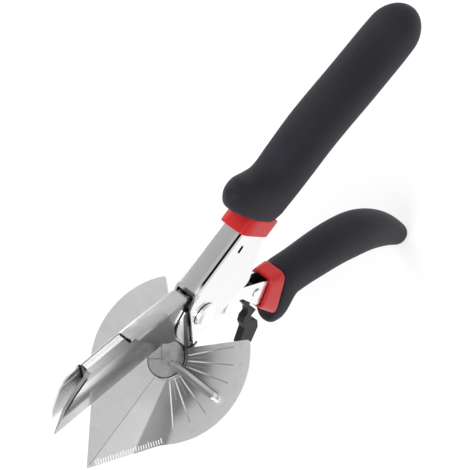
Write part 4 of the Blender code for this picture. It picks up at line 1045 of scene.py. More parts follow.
@dataclass(frozen=True)
class PlateFinish:
    """Satin plate steel, with a painted dark reflection fan round the anvil, a painted highlight on the
    outer part of its -Y wing, and its marks.
    """

    steel: SteelFinish = SteelFinish(colour=(0.84, 0.84, 0.84), shade=(0.80, 0.80, 0.80), roughness=0.30,
                                     uneven=0.05, fineness=1100.0, stretch=4.0,
                                     direction=GrainDirection.ACROSS)
    marks: PlateMarks = PlateMarks()
    # Painted dark reflection: a darker fan of colour round the anvil stands in for the dark sector of the
    # satin steel's reflection.
    fan: Triple = (0.40, 0.40, 0.405)
    dark_reflection_reach: float = 50.0 * MM
    dark_reflection_table: tuple = ((0.0, 0.29), (0.40, 0.30), (0.47, 0.31), (0.56, 0.35), (0.68, 0.41),
                        (0.727, 0.55), (0.77, 0.80), (0.85, 1.0))
    dark_reflection_line: tuple = (-0.248, 2.5 * MM)
    dark_reflection_crisp: float = 0.9 * MM
    dark_reflection_soft: tuple = (-1.6 * MM, 4.6 * MM)
    dark_reflection_share: float = 0.9
    # Painted highlight: a brighter, less metallic outer part of the -Y wing.
    rim: Triple = (0.88, 0.88, 0.88)
    painted_rim_start: tuple = (13.0 * MM, 22.0 * MM)
    highlight_rim_side: tuple = (-2.0 * MM, 2.0 * MM)
    rim_share: float = 0.8
    highlight_rim_dull: float = 0.08
    mark_share: float = 0.9
    mark_dull: float = 0.5
    mark_rough: float = 0.2
    mark_depth: float = -6.0
    face_depth: float = 0.1 * MM
    bright_line: Triple = (0.98, 0.98, 0.98)
    dark_line: Triple = (0.34, 0.34, 0.34)

    def dark_reflection_mask(self, x: Signal, y: Signal) -> Signal:
        """The painted dark reflection fan: right of a crisp line to the point's edge, and inside a radius
        that grows to the left.

        Args:
            x: the place along X.
            y: the place along Y.

        Returns:
            The painted dark reflection's mask.
        """
        angle, radius = polar(x, y)
        crisp = (y * -1.0 - (x * self.dark_reflection_line[0] + self.dark_reflection_line[1])).rises(0.0, self.dark_reflection_crisp)
        reach = x.wiring.ramp((angle + 60.0) / 150.0, self.dark_reflection_table)
        return crisp * (radius - reach * self.dark_reflection_reach).falls(*self.dark_reflection_soft)

    def material(self, name: str) -> Material:
        """A new plate material.

        Args:
            name: the material's name.

        Returns:
            The material.
        """
        dress = Dressing(name)
        wiring = dress.wiring
        colour, rough, height = self.steel.wire(wiring)
        x, y, z = wiring.split(wiring.place())
        # Painted highlight on the outer part of the -Y wing.
        rim = polar(x, y)[1].rises(*self.painted_rim_start) * y.falls(*self.highlight_rim_side)
        colour = wiring.blend(rim * self.rim_share, colour, self.rim)
        # Painted dark reflection fan round the anvil.
        fan = self.dark_reflection_mask(x, y)
        colour = wiring.blend(fan * self.dark_reflection_share, colour, self.fan)
        mask = self.marks.mask(x, y) * (z > PLATE_TOP - self.face_depth)
        ruled = self.marks.ruler(x, y) * mask
        # Engraved marks: bright inside the painted dark reflection fan and on the ruler strip, darker
        # elsewhere, so their tone follows the painted reflection.
        line = wiring.blend(ruled, wiring.blend(fan, self.dark_line, self.bright_line), self.bright_line)
        dull = ruled * self.mark_dull + rim * self.highlight_rim_dull
        values = {"Base Color": wiring.blend(mask * self.mark_share, colour, line),
                  "Roughness": mask * self.mark_rough + rough,
                  "Metallic": wiring.math("SUBTRACT", 1.0, dull)}
        height = mask * self.mark_depth + height
        return dress.finish(values, height, self.steel.relief, self.steel.relief_strength)


@dataclass(frozen=True)
class DiscFinish:
    """The anvil's face: light and dark rays from its stud to its rim, two engraved lines, a black ring of
    painted shade at its rim and painted shade on everything below its face's edge.
    """

    steel: SteelFinish = SteelFinish(colour=grey(0.44), shade=grey(0.40), roughness=0.28, stretch=3.0,
                                     worn=grey(0.50))
    rays: int = 44
    ray_wave: tuple = (-0.4, 0.9)
    ray_start: tuple = (1.6 * MM, 3.6 * MM)
    ray_end: tuple = (6.5 * MM, 7.0 * MM)
    ray_tone: Triple = grey(0.72)
    ray_share: float = 0.55
    ray_depth: float = -4.0
    # Painted shade: a black ring round the face's rim.
    rim: Triple = (0.012, 0.012, 0.012)
    painted_rim_start: tuple = (6.95 * MM, 7.10 * MM)
    # Painted shade on the side, the underside and the stud.
    wall: Triple = (0.30, 0.30, 0.30)
    wall_shade_top: float = -0.25 * MM
    lines: tuple = (((-4.3, 5.8), (-0.6, 0.4)), ((2.5, 4.5), (-0.9, 1.5)))
    line_tone: Triple = grey(0.22)
    line_width: float = 0.16 * MM

    def line(self, x: Signal, y: Signal, ends: tuple) -> Signal:
        """One on a straight mark: its distance across is small, and it lies between its ends.

        Args:
            x: the place along X.
            y: the place along Y.
            ends: the mark's two ends, in millimetres.

        Returns:
            The mark's mask.
        """
        start, end = np.array(ends) * MM
        length = float(np.linalg.norm(end - start))
        way = (end - start) / length
        along = x * float(way[0]) + (y * float(way[1]) + float(-way @ start))
        aside = x * float(-way[1]) + (y * float(way[0]) + float(way[1] * start[0] - way[0] * start[1]))
        near = abs(aside).falls(self.line_width * 0.5, self.line_width * 1.5)
        return near * along.inside(0.0, length)

    def material(self, name: str) -> Material:
        """A new disc material: a ray's light and dark halves follow the sine of the angle.

        Args:
            name: the material's name.

        Returns:
            The material.
        """
        dress = Dressing(name)
        wiring = dress.wiring
        colour, rough, height = self.steel.wire(wiring)
        x, y, z = wiring.split(wiring.place())
        angle, radius = polar(x, y)
        ray = wiring.math("SINE", angle * math.radians(self.rays)).rises(*self.ray_wave)
        mask = ray * (radius.rises(*self.ray_start) * radius.falls(*self.ray_end))
        colour = wiring.blend(mask * self.ray_share, colour, self.ray_tone)
        for ends in self.lines:
            colour = wiring.blend(self.line(x, y, ends), colour, self.line_tone)
        # Painted shade: the black ring at the rim.
        colour = wiring.blend(radius.rises(*self.painted_rim_start), colour, self.rim)
        # Painted shade below the face's edge.
        colour = wiring.blend(z < self.wall_shade_top, colour, self.wall)
        values = {"Base Color": colour, "Roughness": rough, "Metallic": 1.0}
        height = mask * self.ray_depth + height
        return dress.finish(values, height, self.steel.relief, self.steel.relief_strength)


RED = MouldedFinish(colour=(0.60, 0.016, 0.018), deep=(0.50, 0.010, 0.012), edge=(0.75, 0.10, 0.09))
BLACK = MouldedFinish(colour=(0.010, 0.010, 0.013), deep=(0.006, 0.006, 0.008), edge=(0.04, 0.04, 0.05),
                      roughness=0.42, gloss=0.2)
GRIP = MouldedFinish(colour=(0.026, 0.0240, 0.031), deep=(0.019, 0.0172, 0.023), edge=(0.05, 0.05, 0.055),
                     roughness=0.55, uneven=0.12, gloss=0.12, fineness=2600.0, cloud=45.0,
                     relief=0.03 * MM, relief_strength=0.5, wear_radius=0.5 * MM, wear_gain=2.0,
                     wear_share=0.4)
LEVER_STEEL = SteelFinish(colour=(0.87, 0.87, 0.87), shade=(0.84, 0.84, 0.845), roughness=0.18)
JAW_STEEL = SteelFinish(direction=GrainDirection.JAW)
BLADE_STEEL = SteelFinish(direction=GrainDirection.JAW, colour=(0.95, 0.95, 0.95),
                          shade=(0.86, 0.86, 0.86), roughness=0.22, fineness=2200.0)
CARRIER_STEEL = SteelFinish(direction=GrainDirection.UPRIGHT, roughness=0.18)
FENCE_STEEL = SteelFinish(direction=GrainDirection.ACROSS, roughness=0.36, worn=grey(0.7),
                          wear_radius=0.08 * MM)
TURNED_STEEL = SteelFinish(colour=(0.95, 0.95, 0.94), shade=(0.88, 0.88, 0.87), roughness=0.15,
                           uneven=0.04, fineness=2600.0, stretch=6.0)
PIN_STEEL = SteelFinish(colour=grey(0.97), shade=grey(0.94), roughness=0.45)
SPRING_STEEL = SteelFinish(colour=(0.45, 0.45, 0.46), shade=(0.32, 0.32, 0.33), roughness=0.28,
                           stretch=4.0)
NUMBER_STEEL = SteelFinish(colour=(0.66, 0.66, 0.66), shade=(0.56, 0.56, 0.56), roughness=0.40)


# Zones of painted light and shade, in millimetres

def x_border(full: float, none: float) -> Border:
    """A border square to X."""
    return Border((1.0, 0.0, 0.0), full, none)


def y_border(full: float, none: float) -> Border:
    """A border square to Y."""
    return Border((0.0, 1.0, 0.0), full, none)


def z_border(full: float, none: float) -> Border:
    """A border square to Z."""
    return Border((0.0, 0.0, 1.0), full, none)


def jaw_border(along: float, rise: float, full: float, none: float) -> Border:
    """A border by the distance along the jaw and above its line, both from the pivot.

    Args:
        along: the share of the distance along the jaw.
        rise: the share of the distance above its line.
        full: where the border's mask is one.
        none: where it is nothing.

    Returns:
        The border.
    """
    shares = along * JAW_LINE + rise * JAW_RISE
    start = float(PIVOT @ shares) / MM
    return Border(tuple(shares.tolist()), start + full, start + none)


def ahead(full: float, none: float) -> Border:
    """A border by the distance along the jaw."""
    return jaw_border(1.0, 0.0, full, none)


def above(full: float, none: float) -> Border:
    """A border by the distance above the jaw's line."""
    return jaw_border(0.0, 1.0, full, none)


def bend_slant(angle: float, radius: float, middle: tuple[float, float], half: float) -> Border:
    """The stripe of painted reflection on a bend round an axis along X that faces one way.

    Points on the bend at an angle off the stripe's middle stand less far along the stripe's direction, by
    the cosine of that angle.

    Args:
        angle: the stripe's direction, in degrees from +Z towards -Y.
        radius: the bend's radius.
        middle: the bend's axis, as (y, z).
        half: half the stripe's angle, in degrees.

    Returns:
        The border.
    """
    turn = math.radians(angle)
    shares = (0.0, -math.sin(turn), math.cos(turn))
    centre = shares[1] * middle[0] + shares[2] * middle[1]
    return Border(shares, centre + radius * math.cos(math.radians(half * 0.8)),
                  centre + radius * math.cos(math.radians(half * 1.25)))


WEB_TOP = (PLATE_TOP + WEB_ABOVE_PLATE) / MM
BEND_RADIUS = 1.4
BEND_MIDDLE = (-3.4, WEB_TOP - BEND_RADIUS)
# Painted shade and reflection on the upper lever: a grey web top, a grey stripe and a black reflection
# line on the near bend, a grey web front end, and black painted shade inside the channel around the
# hanging hole, which also covers the far flank's outer face there.
LEVER_PAINTED_SHADE = (
    PaintedLightZone(0.72, (z_border(WEB_TOP - 0.03, WEB_TOP - 0.06), y_border(-2.2, -2.9))),
    PaintedLightZone(0.62, (bend_slant(76.0, BEND_RADIUS, BEND_MIDDLE, 16.0),)),
    PaintedLightZone(0.015, (bend_slant(34.0, BEND_RADIUS, BEND_MIDDLE, 22.0), x_border(29.5, 26.5))),
    PaintedLightZone(0.55, (x_border(25.02, 25.10), z_border(17.0, 16.5))),
    PaintedLightZone(0.01, (y_border(-4.72, -4.77), z_border(15.3, 15.6), x_border(43.5, 43.0),
                x_border(50.0, 50.5))))
# Painted shade on the near flank of the carrier's leg.
CARRIER_PAINTED_SHADE = (PaintedLightZone(0.09, (y_border(-3.5, -3.4), Border((0.848, 0.0, -0.53), 5.9, 5.1))),)
# Painted reflection and shade on the blade: a grey strip along its top, its near face darker downwards, a
# dark band above the cutting edge with a lighter bevel towards the tip, and a painted shadow at the
# nose's shoulder.
BLADE_PAINTED_SHADE = (
    PaintedLightZone(0.46, (above(12.6, 10.2),)),
    PaintedLightZone(0.135, (z_border(27.0, 43.5), y_border(-0.05, -0.02)), 0.96),
    PaintedLightZone(0.12, (jaw_border(-0.155, 1.0, -2.6, 0.8),), 0.9),
    PaintedLightZone(0.54, (jaw_border(-0.14, 1.0, -3.5, -2.7), ahead(56.0, 49.0)), 0.9),
    PaintedLightZone(0.45, (ahead(52.2, 51.8), y_border(-2.0, -2.06), above(11.8, 12.2)), 0.8),
    PaintedLightZone(0.06, (ahead(52.0, 51.6), y_border(-2.0, -2.06), y_border(-1.6, -1.2), above(12.4, 12.8))))
# Painted shade and highlight on the fence, over a darker grey for the whole bar: its -X half and its
# inner end darker, both side walls dark, and a lighter patch low at its outer end.
FENCE_PAINTED_LIGHT = (
    PaintedLightZone(0.74, (x_border(1.4, 1.5),)),
    PaintedLightZone(0.40, (x_border(-0.2, 0.3),)),
    PaintedLightZone(0.30, (y_border(-3.2, -4.0),)),
    PaintedLightZone(0.06, (x_border(-1.34, -1.28),)),
    PaintedLightZone(0.06, (x_border(1.36, 1.30),)),
    PaintedLightZone(0.80, (y_border(-24.1, -23.4), z_border(1.2, 1.4))))
# Painted reflection and shade on the jaw: its upper part grey, its near cheek darker at the rear, a
# painted highlight on the nose with a dark pocket of painted shade, and a painted shadow line across the
# web's cut end.
JAW_PAINTED_LIGHT = (
    PaintedLightZone(0.56, (above(9.0, 7.0),)),
    PaintedLightZone(0.28, (y_border(-2.48, -2.3), above(10.4, 11.6), ahead(3.0, -6.0))),
    PaintedLightZone(0.15, (ahead(3.0, -6.0), y_border(-3.5, -2.6), above(12.6, 14.2)), 0.95),
    PaintedLightZone(0.98, (ahead(52.4, 51.6),)),
    PaintedLightZone(0.10, (ahead(57.5, 53.4), ahead(60.5, 63.5), y_border(0.7, 1.9)), 0.92),
    PaintedLightZone(0.03, (ahead(50.2, 49.9), ahead(50.8, 51.2))))


# Sub-assemblies

@dataclass
class Handle:
    """What both handles share: the size of their grip and the wall of their collar.

    The end share is where the grip's rounded end starts, and the sections are rows of a place and the
    half-width, rise and drop there, as shares of the grip's half sizes.
    """

    end_share: float
    sections: tuple
    half_width: float = 9.2 * MM
    half_height: float = 11.2 * MM
    lean_share: float = 0.16
    collar_wall: float = 1.2 * MM
    front_edge: float = 0.012
    front_draw: float = 0.07
    end_fullness: float = 0.9985

    def shares(self) -> np.ndarray:
        """Places of the grip's rings: dense at its front edge and in its rounded end."""
        edge = self.front_edge
        front = edge * (1 - np.cos(np.linspace(0.0, math.pi / 2, 7)))
        body = np.linspace(edge, self.end_share, 120)[1:-1]
        end = self.end_share + (1 - self.end_share) * np.sin(np.linspace(0.0, math.pi / 2, 30))
        return np.concatenate([front, body, end])

    def sizes(self, share: np.ndarray) -> np.ndarray:
        """Half-width, rise and drop of the grip's rings.

        The sections are closed at the end as a part of an ellipse and drawn in a little at the front.

        Args:
            share: the rings' places.

        Returns:
            One row for each ring.
        """
        past = np.maximum(0.0, share - self.end_share) / (1 - self.end_share)
        scale = np.sqrt(1 - past * past * self.end_fullness)
        before = 1 - np.minimum(share / self.front_edge, 1.0)
        lip = 1 - self.front_draw * (1 - np.sqrt(1 - before ** 2))
        half = np.array((self.half_width, self.half_height, self.half_height))
        return smooth_rows(self.sections, share) * half * (scale * lip)[:, None]


@dataclass
class UpperHandle(Handle):
    """The straight upper grip with its guard, and the red collar in front of it."""

    front: float = 57.1 * MM
    end: float = 152.0 * MM
    lean: float = math.radians(18.0)
    lean_shift: float = 8.5 * MM
    end_share: float = 0.88
    heights: tuple = ((0.0, 16.3), (0.35, 16.5), (0.66, 13.6), (1.0, 10.4))
    sections: tuple = (
        (0.0, 0.78, 1.38, 0.90), (0.03, 0.83, 1.74, 0.94), (0.06, 0.87, 1.90, 0.96),
        (0.09, 0.88, 1.82, 0.96), (0.12, 0.89, 1.42, 0.95), (0.155, 0.91, 1.04, 0.94),
        (0.24, 0.94, 0.94, 0.94), (0.40, 0.96, 0.97, 0.94), (0.80, 0.97, 0.97, 0.96),
        (1.0, 0.90, 0.92, 0.86))
    collar_length: float = 6.8 * MM
    collar_rim: float = 0.55 * MM
    collar_half_height: float = 8.5 * MM
    channel_half_width: float = 4.8 * MM

    def build_grip(self) -> Object:
        """The grip: ovals along a straight line whose middle rises and falls, leaning at the front."""
        share = self.shares()
        height = smooth_rows(self.heights, share)[:, 0] * MM
        leaning = np.maximum(0.0, 1 - share / self.lean_share)
        lean = self.lean * leaning
        x = self.front + (self.end - self.front) * share + math.sin(self.lean) * self.lean_shift * leaning
        centres = np.stack([x, 0 * x, PLATE_TOP + height], axis=-1)
        ups = np.stack([-np.sin(lean), 0 * lean, np.cos(lean)], axis=-1)
        self.grip_front, self.grip_up = centres[0], ups[0]
        rings = oval_rings(centres, ups, self.sizes(share), OVAL, GRIP_COLUMNS)
        return skin("upper_grip_skin", rings, sharp=60.0)

    def build_collar(self) -> Object:
        """The collar: a slanted ring with softened rims and a square hole for the lever."""
        middle = WEB_ABOVE_PLATE - self.collar_half_height + self.collar_wall
        across = self.channel_half_width + GAP + self.collar_wall
        axis = np.array((math.cos(self.lean), 0.0, math.sin(self.lean)))
        rear = self.grip_front.copy()
        rear[2] = PLATE_TOP + middle
        rear[0] = self.grip_front[0] + (self.grip_front[2] - rear[2]) * math.tan(self.lean)
        rear = rear - axis * GAP
        front = rear - np.array((self.collar_length, 0.0, 0.0))
        half = self.collar_half_height / math.cos(self.lean)
        ends, ups = np.stack([front, rear]), np.stack([self.grip_up, self.grip_up])
        outer = oval_rings(ends, ups, np.array([(across, half, half)] * 2), BOXY, COLLAR_COLUMNS)
        hole = self.channel_half_width + GAP
        rise = (WEB_ABOVE_PLATE + GAP - middle) / math.cos(self.lean)
        drop = (self.collar_half_height - self.collar_wall) / math.cos(self.lean)
        inner = oval_rings(ends, ups, np.array([(hole, rise, drop)] * 2), SQUARE, COLLAR_COLUMNS)
        return sleeve("upper_collar_ring", outer, inner, self.collar_rim, self.collar_length)

    def build(self) -> None:
        """Make and dress both pieces."""
        fit_piece(self.build_grip(), "upper_grip", GRIP.material("upper grip rubber"))
        fit_piece(self.build_collar(), "upper_collar", RED.material("upper collar red"))


@dataclass
class LowerHandle(Handle):
    """The curved lower grip with its guard, and the wedge-shaped red collar in front of it."""

    turn: float = math.radians(46.4)
    end_share: float = 0.94
    controls: tuple = ((44.0, 31.2), (63.8, 48.9), (87.3, 55.6), (93.0, 104.0))
    sections: tuple = (
        (0.0, 0.70, 0.80, 1.54), (0.03, 0.77, 0.82, 1.75), (0.06, 0.80, 0.83, 1.76),
        (0.09, 0.80, 0.83, 1.05), (0.12, 0.79, 0.83, 0.78), (0.16, 0.79, 0.83, 0.78),
        (0.35, 0.84, 0.84, 0.84), (0.55, 0.86, 0.86, 0.86), (0.80, 0.70, 0.67, 0.67),
        (1.0, 0.44, 0.34, 0.34))
    rim_along: float = 36.5 * MM
    half_depth: float = 5.3 * MM
    channel_half_width: float = 3.6 * MM
    rear_rise: float = 9.0 * MM
    rear_drop: float = 11.8 * MM
    flare: float = 1.16
    collar_length: float = 9.0 * MM
    collar_rim: float = 0.6 * MM

    def build_grip(self) -> Object:
        """The grip: ovals along a cubic Bezier, square to its heading, leaning at the front."""
        share = self.shares()
        table = np.asarray(self.controls) * MM
        controls = np.stack([table[:, 0], 0 * table[:, 0], PLATE_TOP - table[:, 1]], axis=-1)
        t, u = share[:, None], 1 - share[:, None]
        centres = (controls[0] * u ** 3 + controls[1] * 3 * u * u * t + controls[2] * 3 * u * t * t
                   + controls[3] * t ** 3)
        heading = ((controls[1] - controls[0]) * u * u + (controls[2] - controls[1]) * 2 * u * t
                   + (controls[3] - controls[2]) * t * t)
        heading /= np.linalg.norm(heading, axis=1)[:, None]
        ups = np.stack([-heading[:, 2], 0 * heading[:, 1], heading[:, 0]], axis=-1)
        first = np.array((math.sin(self.turn), 0.0, math.cos(self.turn)))
        ups = ups + (first - ups) * np.maximum(0.0, 1 - t / self.lean_share)
        ups /= np.linalg.norm(ups, axis=1)[:, None]
        self.grip_front, self.grip_up = centres[0], first
        rings = oval_rings(centres, ups, self.sizes(share), OVAL, GRIP_COLUMNS)
        return skin("lower_grip_skin", rings, sharp=60.0)

    def build_collar(self) -> Object:
        """The collar: its front stands square to the lever and its rear square to the grip.

        A hole's point on the rear plane is where a line along the lever meets that plane.
        """
        across = self.channel_half_width + GAP + self.collar_wall
        out = np.array((self.grip_up[2], 0.0, -self.grip_up[0]))
        rear = self.grip_front - out * GAP
        front = PIVOT + HANDLE_LINE * self.rim_along
        half = self.half_depth + GAP + self.collar_wall
        sizes = np.array([(across, half, half), (across * self.flare, self.rear_rise, self.rear_drop)])
        ups = np.stack([-HANDLE_FRONT, self.grip_up])
        outer = oval_rings(np.stack([front, rear]), ups, sizes, BOXY, COLLAR_COLUMNS)
        hole, depth = self.channel_half_width + GAP, self.half_depth + GAP
        sizes = np.array([(hole, depth, depth)])
        near = oval_rings(front[None], ups[:1], sizes, SQUARE, COLLAR_COLUMNS)[0]
        far = near + HANDLE_LINE * (((rear - near) @ out) / (HANDLE_LINE @ out))[:, None]
        inner = np.stack([near, far])
        return sleeve("lower_collar_ring", outer, inner, self.collar_rim, self.collar_length)

    def build(self) -> None:
        """Make and dress both pieces."""
        fit_piece(self.build_grip(), "lower_grip", GRIP.material("lower grip rubber"))
        fit_piece(self.build_collar(), "lower_collar", RED.material("lower collar red"))


@dataclass
class AnglePlate:
    """The flat plate, its engraving, its numbers and the two rivets that hold it."""

    number_radius: float = 28.3 * MM
    number_height: float = 1.9 * MM
    number_relief: float = 0.02 * MM
    number_angles: tuple = (-45, -30, -15, 0, 15, 30, 45)
    rivet_spread: float = 4.8 * MM
    rivet_radius: float = 0.9 * MM
    rivet_head: float = 1.6 * MM
    rivet_rim: float = 0.1 * MM
    rivet_crown: float = 0.6 * MM
    rivet_low: float = PLATE_TOP - 2.8 * MM
    edge: float = 0.12 * MM

    def number(self, text: str, angle: float) -> Mesh:
        """One number near the plate's rim, its top towards the anvil.

        Args:
            text: the number.
            angle: degrees from -Y towards -X.

        Returns:
            Its mesh, in place.
        """
        curve = bpy.data.curves.new("number", "FONT")
        curve.body, curve.size = text, self.number_height
        curve.align_x, curve.align_y = "CENTER", "CENTER"
        curve.extrude = self.number_relief / 2
        holder = link("number", curve)
        graph = bpy.context.evaluated_depsgraph_get()
        mesh = bpy.data.meshes.new_from_object(holder.evaluated_get(graph))
        bpy.data.objects.remove(holder, do_unlink=True)
        out = Vector((-math.sin(math.radians(angle)), -math.cos(math.radians(angle)), 0.0))
        right = Vector((-out.y, out.x, 0.0))
        spot = out * self.number_radius + Vector((0.0, 0.0, PLATE_TOP + self.number_relief / 2))
        mesh.transform(Matrix((
            (right.x, -out.x, 0.0, spot.x), (right.y, -out.y, 0.0, spot.y), (0.0, 0.0, 1.0, spot.z),
            (0.0, 0.0, 0.0, 1.0))))
        return mesh

    def build_numbers(self) -> Object:
        """The plate's numbers, joined into one piece."""
        bm = bmesh.new()
        for angle in self.number_angles:
            mesh = self.number(str(90 - angle), float(angle))
            bm.from_mesh(mesh)
            bpy.data.meshes.remove(mesh)
        mesh = bpy.data.meshes.new("plate_numbers")
        bmesh.ops.remove_doubles(bm, verts=bm.verts, dist=0.0005 * MM)
        bm.to_mesh(mesh)
        bm.free()
        return link("plate_numbers", mesh)

    def build(self) -> None:
        """Make and dress the plate, its numbers and its rivets."""
        plate = merged_copy("angle_plate", "angle_plate_sheet", self.edge)
        fit_piece(plate, "angle_plate", PlateFinish().material("plate steel"))
        numbers = self.build_numbers()
        numbers.data.materials.append(NUMBER_STEEL.material("number etching"))
        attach(numbers, frame["nodes"]["angle_plate"]["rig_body"])
        LOG.info("piece %s rides on the plate", numbers.name)
        low, top = -self.rivet_low, -PLATE_TOP
        head = dome_profile(self.rivet_head, low, low + self.rivet_rim, low + self.rivet_crown, 8)
        stem = np.array([(self.rivet_radius, low), (self.rivet_radius, top), (0.0, top)])
        profile = np.vstack([head, stem]) * np.array((1.0, -1.0))
        for word, back in (("front", -self.rivet_spread), ("rear", self.rivet_spread)):
            centre = np.array((back, 0.0, 0.0))
            rivet = turned(f"plate_rivet_{word}_turned", profile, centre, TurningAxis.UP, 32)
            fit_piece(rivet, f"plate_rivet_{word}", TURNED_STEEL.material(f"rivet steel {word}"))


@dataclass
class Turntable:
    """The turning anvil with its stud and retainer, and the fence that it carries."""

    radius: float = 7.4 * MM
    thickness: float = 1.5 * MM
    chamfer: float = 0.3 * MM
    stud: float = 1.8 * MM
    stud_end: float = -5.4 * MM
    retainer_radius: float = 2.7 * MM
    retainer_edge: float = 0.15 * MM
    fence_half: float = 1.4 * MM
    fence_start: float = 3.6 * MM
    fence_reach: float = 24.6 * MM
    fence_corner: float = 0.9 * MM
    fence_top: float = 1.8 * MM
    fence_chamfer: float = 1.1 * MM
    fence_soft: float = 0.12 * MM
    fence_foot: float = -1.0 * MM
    fence_lift: float = 0.3 * MM

    def build_anvil(self) -> Object:
        """The anvil: flat face, softened rim, and the stud below."""
        turn = np.linspace(0.0, math.pi / 2, 6)
        edge = np.stack([self.radius - self.chamfer * (1 - np.sin(turn)),
                         -self.chamfer * (1 - np.cos(turn))], axis=-1)
        top = np.array([(0.0, 0.0), (self.stud, 0.0)])
        low = np.array([(self.radius, -self.thickness), (self.stud, -self.thickness),
                        (self.stud, self.stud_end), (0.0, self.stud_end)])
        return turned("anvil_disc", np.vstack([top, edge, low]), np.zeros(3), TurningAxis.UP, 128)

    def build_fence(self) -> Object:
        """The fence: one section along -Y, as wide as its plan is at each place.

        The section is a bar with a chamfer on its +X side. Its plan starts in a half circle and ends in
        rounded corners, and its foot steps down past the anvil's rim.
        """
        half, reach, corner = self.fence_half, self.fence_reach, self.fence_corner
        turn = np.linspace(0.02, math.pi / 2, 9)
        inner = self.fence_start - half * np.cos(turn)
        past_rim = self.radius + GAP
        bar = np.array([past_rim, past_rim + 0.02 * MM, 0.4 * reach, 0.7 * reach])
        round_end = np.linspace(0.0, math.pi / 2 - 0.05, 9)
        out = np.concatenate([inner, bar, reach - corner + corner * np.sin(round_end)])
        width = np.concatenate([half * np.sin(turn), np.full(4, half),
                                half - corner + corner * np.cos(round_end)])
        foot = np.where(out > past_rim + 0.01 * MM, -self.thickness, self.fence_lift)
        top, cut, soft = self.fence_top, self.fence_chamfer, self.fence_soft
        section = rounded_path([(-half, self.fence_foot, soft), (half, self.fence_foot, soft),
                                (half, top - cut, soft), (half - cut, top, soft), (-half, top, soft)], 3)
        share = (np.maximum(width, 0.01 * MM) / half)[:, None]
        x = section[:, 0][None, :] * share
        low = section[:, 1] < 0.0
        z = np.where(low[None, :], (section[:, 1] - self.fence_foot)[None, :] + foot[:, None],
                     section[:, 1][None, :])
        return skin("fence_bar", np.stack([x, -out[:, None] + 0 * x, z], axis=-1), sharp=38.0)

    def build(self) -> None:
        """Make and dress the anvil, its retainer, the fence and its pin."""
        fit_piece(self.build_anvil(), "anvil", DiscFinish().material("anvil steel"))
        box_low, box_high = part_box("anvil_retainer")
        profile = bush_profile(self.stud + GAP, self.retainer_radius, box_low[2], box_high[2],
                               self.retainer_edge)
        ring = turned("anvil_retainer_ring", profile, np.zeros(3), TurningAxis.UP, 48)
        fit_piece(ring, "anvil_retainer", TURNED_STEEL.material("retainer steel"))
        fit_piece(self.build_fence(), "fence", FENCE_STEEL.material("fence steel", FENCE_PAINTED_LIGHT))
        pin = merged_copy("fence_rivet", "fence_pin")
        fit_piece(pin, "fence_rivet", TURNED_STEEL.material("fence pin steel"))


@dataclass
class AnvilLever:
    """The upper lever's channel and the carrier inside it."""

    hole_place: tuple = (46.7 * MM, 13.2 * MM)
    hole_half_sizes: tuple = (1.6 * MM, 1.3 * MM)
    hole_tilt: tuple = ((0.86, 0.51), (-0.51, 0.86))
    hole_reach: float = 3.0 * MM
    edge: float = 0.08 * MM

    def round_hole(self, piece: Object) -> None:
        """Bring the hanging hole to an oval: each point of its rim keeps its angle round the hole.

        Args:
            piece: the lever's copy.
        """
        points = read_points(piece.data)
        tilt = np.array(self.hole_tilt)
        off = (points[:, [0, 2]] - np.array(self.hole_place)) @ tilt.T
        rim = np.linalg.norm(off, axis=1) < self.hole_reach
        angle = np.arctan2(off[:, 1], off[:, 0])
        oval = np.stack([np.cos(angle), np.sin(angle)], axis=-1) * np.array(self.hole_half_sizes)
        placed = oval @ tilt + np.array(self.hole_place)
        points[rim, 0], points[rim, 2] = placed[rim, 0], placed[rim, 1]
        write_points(piece.data, points)
        LOG.info("hanging hole: %d points", int(rim.sum()))

    def build(self) -> None:
        """Dress both pressings."""
        lever = merged_copy("anvil_lever", "anvil_lever_channel", self.edge)
        self.round_hole(lever)
        fit_piece(lever, "anvil_lever", LEVER_STEEL.material("lever steel", LEVER_PAINTED_SHADE))
        carrier = merged_copy("anvil_carrier", "anvil_carrier_bracket", self.edge)
        fit_piece(carrier, "anvil_carrier", CARRIER_STEEL.material("carrier steel", CARRIER_PAINTED_SHADE))


